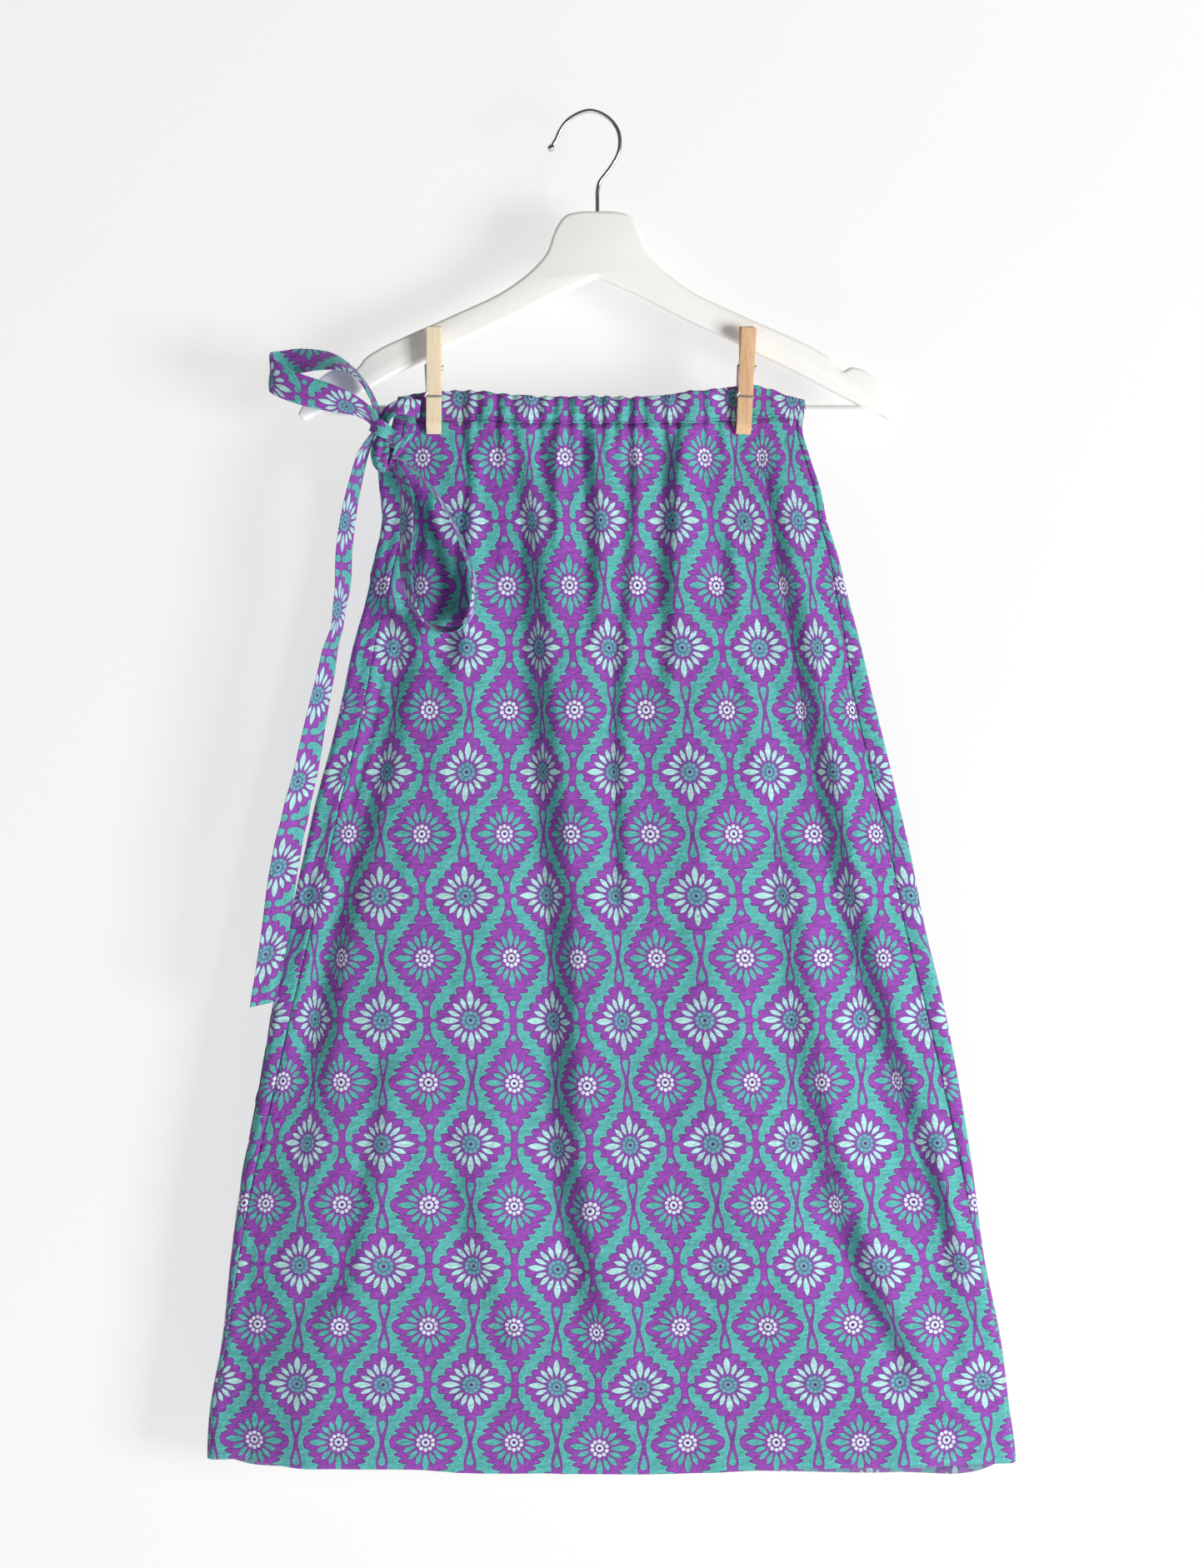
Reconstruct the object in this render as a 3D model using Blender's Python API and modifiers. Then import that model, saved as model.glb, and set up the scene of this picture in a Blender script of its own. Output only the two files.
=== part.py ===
"""A printed longyi-style wrap skirt with a gathered waistband and a side tie,
held by two wooden clothes pegs on the bar of a painted wooden clothes hanger.

Frame: the origin is the point inside the top of the hanger's wire hook that
bears on a rail. +Z is up, the front of the skirt faces -Y, +X is to the right.
Tables are in millimetres; "drop" is the distance below the origin.
"""
import math

import bmesh
import bpy
import numpy as np
from mathutils import Matrix, Vector

# Units and cloth
MM = 0.001
CLOTH = 1.2                # wall of the printed cloth
BAND_CLOTH = 1.3           # wall of the elastic casing
SEAM_GAP = 0.3             # space between two sewn pieces
INSIDE_GAP = 0.6           # least space that a fold leaves to the skirt's middle
SLOPE_STEP = 0.002         # step used to measure the lie of the cloth
SEAM_EASE = 16.0           # folds fade out over this distance beside a side seam
WELD = 0.00001             # points closer than this are one point, in metres
ROUND_SIDES = 20           # flat sides of a bar or bore

# Columns of cloth around each panel and rows down it
FRONT_COLUMNS = 72
BACK_COLUMNS = 54
SKIRT_ROWS = 15            # shared, so that the seams of both panels match
BAND_ROWS = 2
FRONT_SPREAD = 0.25        # how much closer the columns lie beside the seams
BACK_SPREAD = 0.55
ROW_WIDENING = 1.3         # power by which the rows widen downwards
START_DROP = 500.0         # height at which the search for a point's place starts

# Skirt sections, from the top of the waistband to below the hem.
# front and back are the depths at the middle, fold is the radius of the side fold,
# seams are measured round the cloth from the side fold onto the front.
SECTION_NAMES = "drop left right middle front back fold left_seam right_seam"
SECTIONS = (
    (196.0, -138.0, 150.0, -5.7, -15.0, -4.1, 1.6, 6.0, 5.0),
    (212.0, -139.0, 155.0, -5.7, -15.8, -4.1, 1.6, 7.0, 5.0),
    (226.5, -142.9, 152.6, -5.7, -16.2, -4.1, 1.6, 10.0, 5.0),
    (248.0, -152.0, 158.0, -5.6, -16.6, -3.0, 2.2, 16.0, 5.5),
    (272.0, -151.4, 165.8, -5.6, -17.0, -1.0, 3.0, 18.5, 6.5),
    (294.0, -149.5, 170.3, -5.5, -17.4, 0.5, 3.6, 19.0, 7.5),
    (319.0, -154.4, 178.2, -5.4, -17.9, 2.0, 4.2, 17.5, 9.0),
    (347.0, -159.8, 185.0, -5.3, -18.4, 3.5, 4.8, 17.0, 11.0),
    (382.0, -169.7, 194.3, -5.2, -19.0, 5.0, 5.2, 18.5, 14.0),
    (417.0, -177.2, 202.4, -5.0, -19.5, 6.2, 5.6, 20.0, 17.0),
    (454.0, -185.6, 211.7, -5.0, -20.0, 7.4, 6.0, 20.5, 18.5),
    (492.0, -196.1, 220.7, -5.0, -20.5, 8.4, 6.2, 21.5, 18.5),
    (537.0, -206.3, 231.2, -4.9, -21.0, 9.2, 6.5, 22.0, 18.5),
    (585.0, -216.8, 240.5, -4.8, -21.5, 10.0, 6.7, 21.0, 18.5),
    (644.0, -228.2, 254.8, -4.7, -22.0, 11.0, 6.9, 18.5, 18.0),
    (704.0, -238.4, 266.1, -4.6, -23.0, 11.8, 7.0, 15.5, 15.5),
    (765.0, -250.1, 275.7, -4.5, -23.5, 12.5, 7.0, 13.0, 12.0),
    (824.0, -258.3, 283.5, -4.5, -24.0, 13.2, 7.0, 10.0, 8.5),
    (886.0, -264.9, 296.1, -4.5, -25.0, 14.0, 7.0, 7.0, 5.5),
    (934.0, -273.6, 302.1, -4.5, -25.5, 14.5, 7.0, 5.0, 4.5),
    (964.0, -275.4, 306.3, -4.5, -26.0, 15.0, 7.0, 4.5, 4.0),
    (990.0, -274.5, 306.9, -4.5, -26.0, 15.0, 7.0, 4.5, 4.0),
)
SIDE_RUN = 75.0            # distance over which the front and back swell from a side

# Edges across the garment: waistband top and seam, and the two hems
EDGE_NAMES = "x front_top back_top seam front_hem back_hem"
EDGES = (
    (-290.0, 206.0, 206.0, 223.0, 969.0, 969.0),
    (-262.0, 206.0, 206.0, 223.0, 968.0, 969.5),
    (-246.0, 206.0, 206.0, 223.0, 967.5, 974.5),
    (-232.0, 206.0, 206.0, 223.0, 968.8, 976.8),
    (-214.0, 206.0, 206.0, 223.0, 971.4, 978.0),
    (-180.0, 206.0, 206.0, 223.0, 971.9, 978.2),
    (-138.0, 206.0, 206.0, 223.0, 972.2, 978.5),
    (-121.0, 202.4, 202.2, 223.0, 972.4, 979.0),
    (-97.0, 200.9, 201.0, 223.1, 974.4, 980.5),
    (-41.0, 205.5, 205.0, 225.5, 975.0, 981.0),
    (0.0, 205.5, 205.0, 226.1, 975.5, 981.0),
    (43.0, 205.5, 205.0, 226.1, 975.5, 981.0),
    (82.0, 200.9, 201.2, 225.0, 974.5, 981.5),
    (121.0, 197.6, 198.6, 221.0, 973.0, 982.0),
    (151.0, 207.0, 207.0, 221.5, 972.0, 982.5),
    (220.0, 209.0, 209.0, 222.0, 971.0, 983.0),
    (284.0, 209.0, 209.0, 222.0, 971.0, 978.0),
    (298.0, 209.0, 209.0, 222.0, 971.0, 972.0),
    (320.0, 209.0, 209.0, 222.0, 971.0, 971.0),
)

# Long folds: top and foot drop, place at five even heights between them, half width, depth
FRONT_FOLDS = (
    (222.0, 934.0, -49.0, -37.5, -22.0, -16.5, 15.0, 12.0, 10.0),
    (230.0, 900.0, 117.0, 150.0, 184.0, 232.5, 281.0, 12.0, 11.0),
    (495.0, 965.0, 134.0, 147.5, 164.5, 204.2, 282.0, 11.0, 8.5),
    (226.0, 610.0, 31.0, 27.5, 20.5, 21.0, 23.5, 4.5, 4.5),
    (243.0, 760.0, -121.9, -127.9, -153.8, -185.0, -198.2, 8.0, 5.0),
    (670.0, 880.0, -146.0, -152.0, -159.0, -172.4, -191.0, 8.0, 4.0),
    (718.0, 904.0, -96.1, -92.5, -84.1, -69.1, -51.7, 8.0, 3.0),
    (230.0, 350.0, 3.6, 4.0, 4.5, 5.0, 6.0, 7.0, 3.0),
    (230.0, 370.0, 60.0, 57.0, 53.5, 52.0, 51.0, 7.0, 3.5),
)
BACK_FOLDS = (
    (236.0, 930.0, -75.0, -92.0, -118.0, -150.0, -186.0, 10.0, 7.0),
    (236.0, 860.0, 18.0, 30.0, 37.0, 48.0, 66.0, 9.0, 8.0),
    (236.0, 700.0, 96.0, 122.0, 146.0, 168.0, 182.0, 8.0, 6.0),
    (420.0, 965.0, -30.0, -26.0, -34.0, -46.0, -54.0, 10.0, 6.0),
    (560.0, 965.0, 128.0, 132.0, 144.0, 168.0, 205.0, 11.0, 6.0),
)

# Shape across a fold, in half widths: a floor left of the path, then a crest right of it
FOLD_SHIFT = 1.05
GENTLE_SIDE, STEEP_SIDE = 1.8, 0.85
CREST_PLACE = 2.1
CREST_SHARE = 0.26         # height of the crest as a share of the fold's depth
CREST_BEFORE, CREST_AFTER = 0.4, 1.3
FOLD_RISE, FOLD_FALL = 0.08, 0.8

# Gathers drawn up by the elastic: x, depth, and reach below the waist seam
FRONT_GATHERS = (
    (-126.0, 1.2, 40.0),
    (-102.0, 1.2, 46.0),
    (-92.0, 1.5, 62.0),
    (-81.0, 1.3, 40.0),
    (-67.0, 1.7, 75.0),
    (-56.0, 1.2, 48.0),
    (-37.0, 1.6, 66.0),
    (-26.0, 1.2, 42.0),
    (-15.5, 1.7, 80.0),
    (-5.0, 1.2, 50.0),
    (8.0, 1.4, 72.0),
    (18.0, 1.2, 44.0),
    (28.0, 1.8, 90.0),
    (38.0, 1.5, 52.0),
    (52.0, 1.6, 84.0),
    (62.0, 1.2, 50.0),
    (81.0, 1.7, 60.0),
    (92.0, 1.3, 46.0),
    (103.0, 1.2, 38.0),
    (126.0, 1.3, 56.0),
    (140.0, 1.2, 44.0),
)
GATHER_HALF_WIDTH = 3.1
BACK_GATHERS = 20          # the hidden side has gathers of the same kind
BACK_GATHER_DEPTH = 1.3
BACK_GATHER_REACH = 55.0
BACK_GATHER_INSET = (14.0, 12.0)
BACK_GATHER_SWING = (0.012, 0.25, 22.0)   # how far place, depth and reach swing about the even ones
BACK_GATHER_TURN = (2.4, 1.7, 2.9)        # angle between neighbours, so that the swings don't repeat

# Wooden clothes pegs: name, pivot's x and drop, lean of the front and rear leg in the hanger's plane
PEGS = (
    ("left", -111.6, 185.1, 0.5, 0.5),
    ("right", 112.4, 185.3, 2.8, -0.6),
)
PEG_WIDTH = 10.8
PEG_THICK = 7.0
PEG_HANDLE = 28.2          # from the spring up to the handle end
PEG_JAW = 47.5             # from the spring down to the jaw tip
PEG_HANDLE_TAPER = 6.1
PEG_HANDLE_FLARE = 1.9
PEG_JAW_BEVEL = 6.0
PEG_FRONT_TILT = 3.6       # degrees, the handle leans forward
PEG_NOTCH = 3.4
PEG_NOTCH_STEPS = 8
PEG_OPEN_SLOPE = 0.215     # room above the spring for the legs to close together
PEG_LEG_GAP = 0.15         # from the middle of the peg to a leg's inner face
PEG_JAW_TIP = 2.6
BAR_ROOM = 0.5             # between the bar and the rear leg
PINCH_FLAT = 8.0           # half width of the cloth pressed flat by a jaw
PINCH_END = 34.0
PINCH_FOOT = (240.0, 330.0)
JAW_FACE = -7.6            # depth of the front jaw's pressing tip
SPRING_WIRE = 0.7
SPRING_COIL = 2.2
SPRING_TURNS = 3
SPRING_GRIP = 21.0         # from the coil down to the wire across the jaw
SPRING_SIDE_ROOM = 0.5     # between the wire and a leg's side
SPRING_FACE_ROOM = 0.4     # between the wire and a leg's face
SPRING_BEND = 3.0          # rise of the wire's bend round a leg's edge
SPRING_START = 150.0       # degrees round the coil
SPRING_STEPS = 8           # points in each turn

# Hanger
HANGER_CENTRE = 5.4
HANGER_THICK = 10.6
HANGER_ROUNDING = 2.6
HANGER_CORNER = 50.0       # edges that turn by more degrees than this are rounded
HANGER_HALF = (            # right half of the board, x from its centre and drop
    (0.0, 71.4), (14.0, 71.9), (22.8, 74.4), (27.3, 79.2), (31.1, 86.2), (36.6, 101.2), (48.0, 114.4),
    (61.9, 125.2), (105.1, 146.8), (140.5, 162.5), (158.0, 171.0), (168.2, 178.1), (171.8, 183.0),
    (176.6, 186.5), (182.0, 183.9), (189.2, 184.9), (199.4, 191.3), (206.6, 199.7), (210.8, 208.7),
    (215.0, 219.0), (212.0, 221.6), (203.6, 218.3), (175.4, 204.5), (144.7, 188.3), (100.3, 166.7),
    (61.9, 148.6), (20.0, 127.6), (0.0, 119.2),
)
BAR_RADIUS = 3.75
BAR_DROP = 214.5
BAR_HALF = 201.0           # from the hanger's centre to the bar's end, inside an arm
BORE_GAP = 0.3
HOOK_BORE = 12.0
HOOK_WIRE = 1.6
HOOK_BALL = 1.75           # the wire's end swells by this factor
HOOK_BALL_POINTS = 1.6     # the swelling fades over this many points of the path
HOOK_STEM_END = 76.5
HOOK_PATH = (              # centreline from the ball end over the top to the stem, x and drop
    (-29.4, 27.7), (-27.9, 25.0), (-24.4, 19.0), (-21.5, 12.6), (-17.0, 6.4), (-10.6, 1.7), (0.0, -1.6),
    (8.4, 0.6), (15.9, 6.2), (20.4, 13.3), (21.6, 21.1), (20.4, 29.0), (16.5, 36.8), (11.3, 44.0),
    (6.7, 50.5), (5.4, 57.0), (5.4, 64.0), (5.4, HOOK_STEM_END),
)

# Tie of the same cloth: x y z of each stretch's middle, then x y z of half its width
TIE_COLUMNS = 3
TIE_STEPS = 2
TIE_STRETCHES = {
    "tie_root": (
        (-122.5, -11.0, -210.0, 0.5, 0.6, 9.0),
        (-131.0, -14.5, -207.5, 1.5, 1.0, 9.5),
        (-140.5, -18.5, -209.0, 5.0, 0.0, 8.0),
        (-147.0, -20.5, -215.0, 7.0, -1.0, 3.5),
        (-149.0, -21.0, -221.5, 7.5, 0.0, -1.5),
    ),
    "tie_loop_left": (
        (-155.5, -21.0, -210.0, 2.0, 6.0, 2.0),
        (-160.5, -19.5, -199.0, 1.6, 8.0, 1.0),
        (-170.0, -18.5, -188.0, 0.5, 9.5, 2.5),
        (-185.0, -18.0, -181.7, 0.0, 8.5, 6.5),
        (-206.0, -18.0, -181.7, 0.0, 6.0, 9.8),
        (-220.5, -19.5, -186.5, 0.0, 2.5, 12.5),
        (-227.6, -25.0, -190.1, 0.3, 0.0, 13.5),
        (-222.0, -30.5, -196.0, 0.0, -1.0, 12.5),
        (-206.0, -33.0, -203.3, 0.0, -2.0, 11.0),
        (-185.0, -33.5, -209.3, 0.5, -3.0, 10.0),
        (-168.0, -32.0, -214.6, 1.5, -4.0, 7.0),
        (-158.0, -29.0, -219.5, 1.5, -4.0, 4.0),
    ),
    "tie_loop_right": (
        (-132.5, -28.5, -255.0, 1.0, 5.0, 1.0),
        (-124.3, -28.5, -262.2, 1.5, 7.0, 1.5),
        (-111.7, -28.5, -275.4, 1.5, 8.0, 1.0),
        (-95.5, -28.5, -302.4, 1.0, 8.5, 0.0),
        (-84.1, -29.0, -333.0, 1.0, 8.5, 0.0),
        (-82.5, -29.5, -354.0, 1.5, 8.5, -0.5),
        (-87.7, -30.0, -369.0, 1.0, 8.5, 1.5),
        (-98.5, -30.0, -374.0, 0.0, 8.5, 2.5),
        (-111.7, -30.0, -373.0, -1.5, 8.0, 3.0),
        (-121.9, -30.0, -363.0, -3.0, 7.5, 2.5),
        (-129.0, -30.0, -346.0, -4.2, 7.5, 1.0),
        (-131.5, -30.0, -325.0, -4.8, 7.5, 0.0),
        (-131.5, -29.0, -300.0, -4.8, 7.5, 0.0),
        (-132.0, -28.0, -278.0, -4.6, 7.0, 0.0),
        (-137.0, -27.5, -262.5, -3.6, 5.5, 0.0),
    ),
    "tie_tail": (
        (-157.6, -22.0, -236.0, 1.4, 6.0, 0.5),
        (-162.5, -22.5, -248.0, 3.5, 7.5, 0.0),
        (-168.2, -22.0, -264.0, 3.8, 8.0, 0.0),
        (-172.0, -21.5, -285.0, 4.6, 8.5, 0.0),
        (-175.4, -21.0, -312.6, 4.8, 9.0, 0.0),
        (-177.6, -20.5, -338.0, 4.6, 9.5, 0.0),
        (-180.6, -20.5, -361.0, 2.9, 10.5, 0.0),
        (-184.2, -20.5, -378.0, 3.2, 10.5, 0.0),
        (-188.9, -20.5, -399.1, 5.1, 9.5, 0.0),
        (-200.0, -20.5, -459.2, 7.8, 7.5, 0.5),
        (-213.3, -21.0, -519.2, 9.5, 5.5, 1.0),
        (-218.9, -21.0, -547.5, 9.9, 4.5, 1.5),
        (-224.1, -21.0, -586.5, 9.9, 3.5, 1.5),
        (-233.3, -21.0, -641.2, 9.3, 2.0, 2.0),
    ),
}
KNOT_CENTRE = (-146.0, -21.5, -239.5)
KNOT_HALF = (9.6, 7.5, 13.0)
KNOT_LEAN = 12.0           # degrees
KNOT_CREASES = 5
KNOT_CREASE_DEPTH = 0.07
KNOT_CREASE_SLANT = 0.5
KNOT_SIDES, KNOT_RINGS = 20, 12

# Finishes
PURPLE = (0.24, 0.07, 0.36)
WHITE_PAINT = (0.86, 0.86, 0.84)
STEEL = (0.62, 0.63, 0.65)
PEG_WOOD = {"left": (0.83, 0.68, 0.50), "right": (0.68, 0.44, 0.24)}


def columns(names, rows):
    """A table as one array for each named column."""
    return dict(zip(names.split(), np.array(rows, dtype=float).T))


SECTION = columns(SECTION_NAMES, SECTIONS)
EDGE = columns(EDGE_NAMES, EDGES)


def flowing(known, values, at):
    """A smooth curve through a table's values: a cubic between each two rows."""
    slope = np.gradient(values, known)
    at = np.clip(at, known[0], known[-1])
    row = np.clip(np.searchsorted(known, at) - 1, 0, len(known) - 2)
    width = known[row + 1] - known[row]
    t = (at - known[row]) / width
    start = values[row] * (1 + 2 * t) * (1 - t) ** 2 + width * slope[row] * t * (1 - t) ** 2
    end = values[row + 1] * t ** 2 * (3 - 2 * t) - width * slope[row + 1] * t ** 2 * (1 - t)
    return start + end


def section(name, drop):
    """One measure of the skirt's section at each drop."""
    return flowing(SECTION["drop"], SECTION[name], drop)


def ramp(value, low, high):
    """0 below low, 1 above high, with a smooth rise between."""
    t = np.clip((value - low) / (high - low), 0.0, 1.0)
    return t * t * (3 - 2 * t)


def pinch(x, drop):
    """0 where a peg presses the cloth flat, 1 where the cloth is free."""
    free = np.ones_like(x)
    for _, peg_x, *_ in PEGS:
        free = free * ramp(np.abs(x - peg_x), PINCH_FLAT, PINCH_END)
    loosened = ramp(drop, *PINCH_FOOT)
    return free + (1 - free) * loosened


def fold_path(row, drop):
    """A fold's place across at each drop, and its strength there from 0 to 1."""
    top, foot, *places = row[:-2]
    along = (drop - top) / (foot - top)
    centre = flowing(np.linspace(0.0, 1.0, len(places)), np.array(places), along)
    return centre, ramp(along, 0.0, FOLD_RISE) * (1 - ramp(along, FOLD_FALL, 1.0))


def fold_relief(rows, x, drop):
    """Depth of the long folds: for each a floor left of its path, gentle on its left, and less a
    crest right of the path, so that the cloth climbs steadily and turns over sharply."""
    total = np.zeros_like(x)
    for row in rows:
        half_width, depth = row[-2:]
        centre, strength = fold_path(row, drop)
        off = (x - centre) / half_width + FOLD_SHIFT
        valley = np.exp(-0.5 * (off / np.where(off > 0, STEEP_SIDE, GENTLE_SIDE)) ** 2)
        past = off - CREST_PLACE
        crest = CREST_SHARE * np.exp(-0.5 * (past / np.where(past > 0, CREST_AFTER, CREST_BEFORE)) ** 2)
        total += depth * strength * (valley - crest)
    return total


def back_gather_rows():
    """Gathers across the back at uneven steps, with uneven depth and reach."""
    rows = []
    left = SECTION["left"][2] + BACK_GATHER_INSET[0]
    right = SECTION["right"][2] - BACK_GATHER_INSET[1]
    for number in range(BACK_GATHERS):
        swing = [far * math.sin(number * turn) for far, turn in zip(BACK_GATHER_SWING, BACK_GATHER_TURN)]
        x = left + (right - left) * ((number + 0.5) / BACK_GATHERS + swing[0])
        rows.append((x, BACK_GATHER_DEPTH * (1 + swing[1]), BACK_GATHER_REACH + swing[2]))
    return rows


def gather_relief(rows, x, drop):
    """Depth of the gathers: narrow valleys in the band that fade out below it."""
    seam = flowing(EDGE["x"], EDGE["seam"], x)
    total = np.zeros_like(x)
    for place, depth, reach in rows:
        fade = 1 - ramp(drop - seam, 0.0, reach)
        total += depth * fade * np.exp(-0.5 * ((x - place) / GATHER_HALF_WIDTH) ** 2)
    return total


BACK_GATHER_ROWS = back_gather_rows()


def front_length(drop):
    """Length of cloth across the front, from one side fold to the other."""
    fold = section("fold", drop)
    return section("right", drop) - section("left", drop) + (math.pi - 2) * fold


def ring(arc, drop, relief_share):
    """Points of the skirt's outer face. arc runs from the left side fold, positive across the
    front and negative across the back; the side folds are half circles and the faces swell."""
    fold = section("fold", drop)
    length = front_length(drop)
    arc = np.where(arc < -length, arc + 2 * length, arc)
    arc = np.where(arc > length, arc - 2 * length, arc)
    front = arc >= 0
    along = np.abs(arc)
    quarter = math.pi / 2 * fold
    left_turn = np.clip(along / fold, 0.0, math.pi / 2)
    right_turn = np.clip((length - along) / fold, 0.0, math.pi / 2)
    flat = np.clip(along - quarter, 0.0, length - 2 * quarter)
    left = section("left", drop)
    x = left + fold * (1 - np.cos(left_turn)) + flat + fold * np.cos(right_turn)
    inset_left = x - left - fold
    inset_right = section("right", drop) - fold - x
    swell = ramp(inset_left, 0.0, SIDE_RUN) * ramp(inset_right, 0.0, SIDE_RUN)
    middle = section("middle", drop)
    turn = fold * np.sin(left_turn) * np.sin(right_turn)
    front_swell = (middle - fold - section("front", drop)) * swell * pinch(x, drop)
    back_swell = (section("back", drop) - middle - fold) * swell
    front_relief = fold_relief(FRONT_FOLDS, x, drop)
    front_relief += gather_relief(FRONT_GATHERS, x, drop) * pinch(x, drop)
    back_relief = fold_relief(BACK_FOLDS, x, drop) + gather_relief(BACK_GATHER_ROWS, x, drop)
    front_room = np.clip(front_swell + fold - CLOTH - INSIDE_GAP, 0.0, None)
    back_room = np.clip(back_swell + fold - CLOTH - INSIDE_GAP, 0.0, None)
    front_relief = np.minimum(front_relief * relief_share, front_room)
    back_relief = np.minimum(back_relief * relief_share, back_room)
    y = np.where(front, middle - turn - front_swell + front_relief, middle + turn + back_swell - back_relief)
    return np.stack([x, y, -drop], axis=-1)


def panel(side, top, hem, across, down):
    """Points of one panel: across runs from its first seam to its last, down from top to foot."""
    length_guess = front_length(np.full_like(across, START_DROP))
    place = across if side == "front" else 1 - across
    x_guess = section("left", START_DROP) + place * length_guess
    drop_top, drop_hem = top(x_guess), hem(x_guess)
    for _ in range(3):
        drop = drop_top + (drop_hem - drop_top) * down
        start, end = seam_arcs(side, drop)
        arc = start + (end - start) * across
        from_seam = np.minimum(across, 1 - across) * (end - start)
        points = ring(arc, drop, ramp(from_seam, 0.0, SEAM_EASE))
        x = np.clip(points[..., 0], EDGE["x"][0], EDGE["x"][-1])
        drop_top, drop_hem = top(x), hem(x)
    return points


def seam_arcs(side, drop):
    """Where a panel starts and ends round the section, half a seam gap from its neighbour."""
    left = section("left_seam", drop)
    right = section("right_seam", drop)
    length = front_length(drop)
    half = SEAM_GAP / 2
    if side == "front":
        return left + half, length - right - half
    return -length - right + half, left - half


def edge(name, offset=0.0):
    """A function that gives one edge's drop at each x."""
    return lambda x: flowing(EDGE["x"], EDGE[name], x) + offset


def spread(count, end_share):
    """Even steps from 0 to 1, closer together towards both ends."""
    t = np.linspace(0.0, 1.0, count + 1)
    return t - end_share * np.sin(2 * math.pi * t) / (2 * math.pi)


def row_steps(count, power):
    """Steps from 0 to 1 that widen downwards."""
    return np.linspace(0.0, 1.0, count + 1) ** power


def new_material(name, colour, roughness, metallic=0.0):
    material = bpy.data.materials.new(name)
    material.use_nodes = True
    shader = material.node_tree.nodes["Principled BSDF"]
    shader.inputs["Base Color"].default_value = (*colour, 1.0)
    shader.inputs["Roughness"].default_value = roughness
    shader.inputs["Metallic"].default_value = metallic
    material.diffuse_color = (*colour, 1.0)
    return material


def new_object(name, mesh, material, collection):
    piece = bpy.data.objects.new(name, mesh)
    collection.objects.link(piece)
    mesh.materials.append(material)
    return piece


def wall(name, outer, inner, material, collection):
    """A closed sheet between two grids of points: both faces and the four rims."""
    rows, count = outer.shape[:2]
    points = np.concatenate([outer.reshape(-1, 3), inner.reshape(-1, 3)]) * MM
    grid = np.arange(rows * count).reshape(rows, count)
    far = grid + rows * count
    faces = []
    for r in range(rows - 1):
        for c in range(count - 1):
            faces.append((grid[r, c], grid[r + 1, c], grid[r + 1, c + 1], grid[r, c + 1]))
            faces.append((far[r, c], far[r, c + 1], far[r + 1, c + 1], far[r + 1, c]))
    for c in range(count - 1):
        faces.append((grid[0, c], grid[0, c + 1], far[0, c + 1], far[0, c]))
        faces.append((grid[-1, c + 1], grid[-1, c], far[-1, c], far[-1, c + 1]))
    for r in range(rows - 1):
        faces.append((grid[r + 1, 0], grid[r, 0], far[r, 0], far[r + 1, 0]))
        faces.append((grid[r, -1], grid[r + 1, -1], far[r + 1, -1], far[r, -1]))
    mesh = bpy.data.meshes.new(name)
    mesh.from_pydata(points.tolist(), [], [tuple(int(i) for i in face) for face in faces])
    mesh.shade_smooth()
    return new_object(name, mesh, material, collection)


def cloth_panel(name, side, top, hem, across, down, thickness, material, collection):
    """One panel of the garment: its outer face, and an inner face set back square to the cloth."""
    u, v = np.meshgrid(across, down)
    outer = panel(side, top, hem, u, v)
    run_across = panel(side, top, hem, u + SLOPE_STEP, v) - panel(side, top, hem, u - SLOPE_STEP, v)
    run_down = panel(side, top, hem, u, v + SLOPE_STEP) - panel(side, top, hem, u, v - SLOPE_STEP)
    outward = np.cross(run_down, run_across)
    outward /= np.linalg.norm(outward, axis=-1, keepdims=True)
    return wall(name, outer, outer - thickness * outward, material, collection)


def tie_stretch(name, rows, material, collection):
    """A flat band carried along a smooth path, as wide as its half-width vector says."""
    table = np.array(rows)
    known = np.arange(len(table), dtype=float)
    at = np.linspace(0.0, known[-1], (len(table) - 1) * TIE_STEPS + 1)
    read = [flowing(known, table[:, i], at) for i in range(table.shape[1])]
    centre = np.stack(read[:3], axis=-1)
    wide = np.stack(read[3:], axis=-1)
    run = np.gradient(centre, axis=0)
    square = np.cross(run, wide)
    square /= np.linalg.norm(square, axis=-1, keepdims=True)
    share = np.linspace(-1.0, 1.0, TIE_COLUMNS + 1)
    grid = centre[:, None, :] + share[None, :, None] * wide[:, None, :]
    half = CLOTH / 2 * square[:, None, :]
    return wall(name, grid + half, grid - half, material, collection)


def tie_knot(name, material, collection):
    """The wrapped knot: a rounded lump with soft creases that run round it."""
    mesh = bpy.data.meshes.new(name)
    shape = bmesh.new()
    bmesh.ops.create_uvsphere(shape, u_segments=KNOT_SIDES, v_segments=KNOT_RINGS, radius=1.0)
    for vertex in shape.verts:
        slant = vertex.co.z + KNOT_CREASE_SLANT * vertex.co.x
        crease = 1 - KNOT_CREASE_DEPTH * (1 + math.cos(slant * math.pi * KNOT_CREASES / 2))
        vertex.co = Vector(half * MM * crease * value for half, value in zip(KNOT_HALF, vertex.co))
    shape.to_mesh(mesh)
    shape.free()
    mesh.shade_smooth()
    piece = new_object(name, mesh, material, collection)
    piece.location = Vector(KNOT_CENTRE) * MM
    piece.rotation_euler = (0.0, math.radians(KNOT_LEAN), 0.0)
    return piece


def board(name, outline, thickness, material, collection):
    """A flat outline with thickness, as a closed mesh lying in XY about its middle."""
    curve = bpy.data.curves.new(name, "CURVE")
    curve.dimensions = "2D"
    curve.fill_mode = "BOTH"
    curve.extrude = thickness / 2 * MM
    spline = curve.splines.new("POLY")
    spline.points.add(len(outline) - 1)
    for point, (x, y) in zip(spline.points, outline):
        point.co = (x * MM, y * MM, 0.0, 1.0)
    spline.use_cyclic_u = True
    return closed_mesh(name, curve, material, collection)


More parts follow.
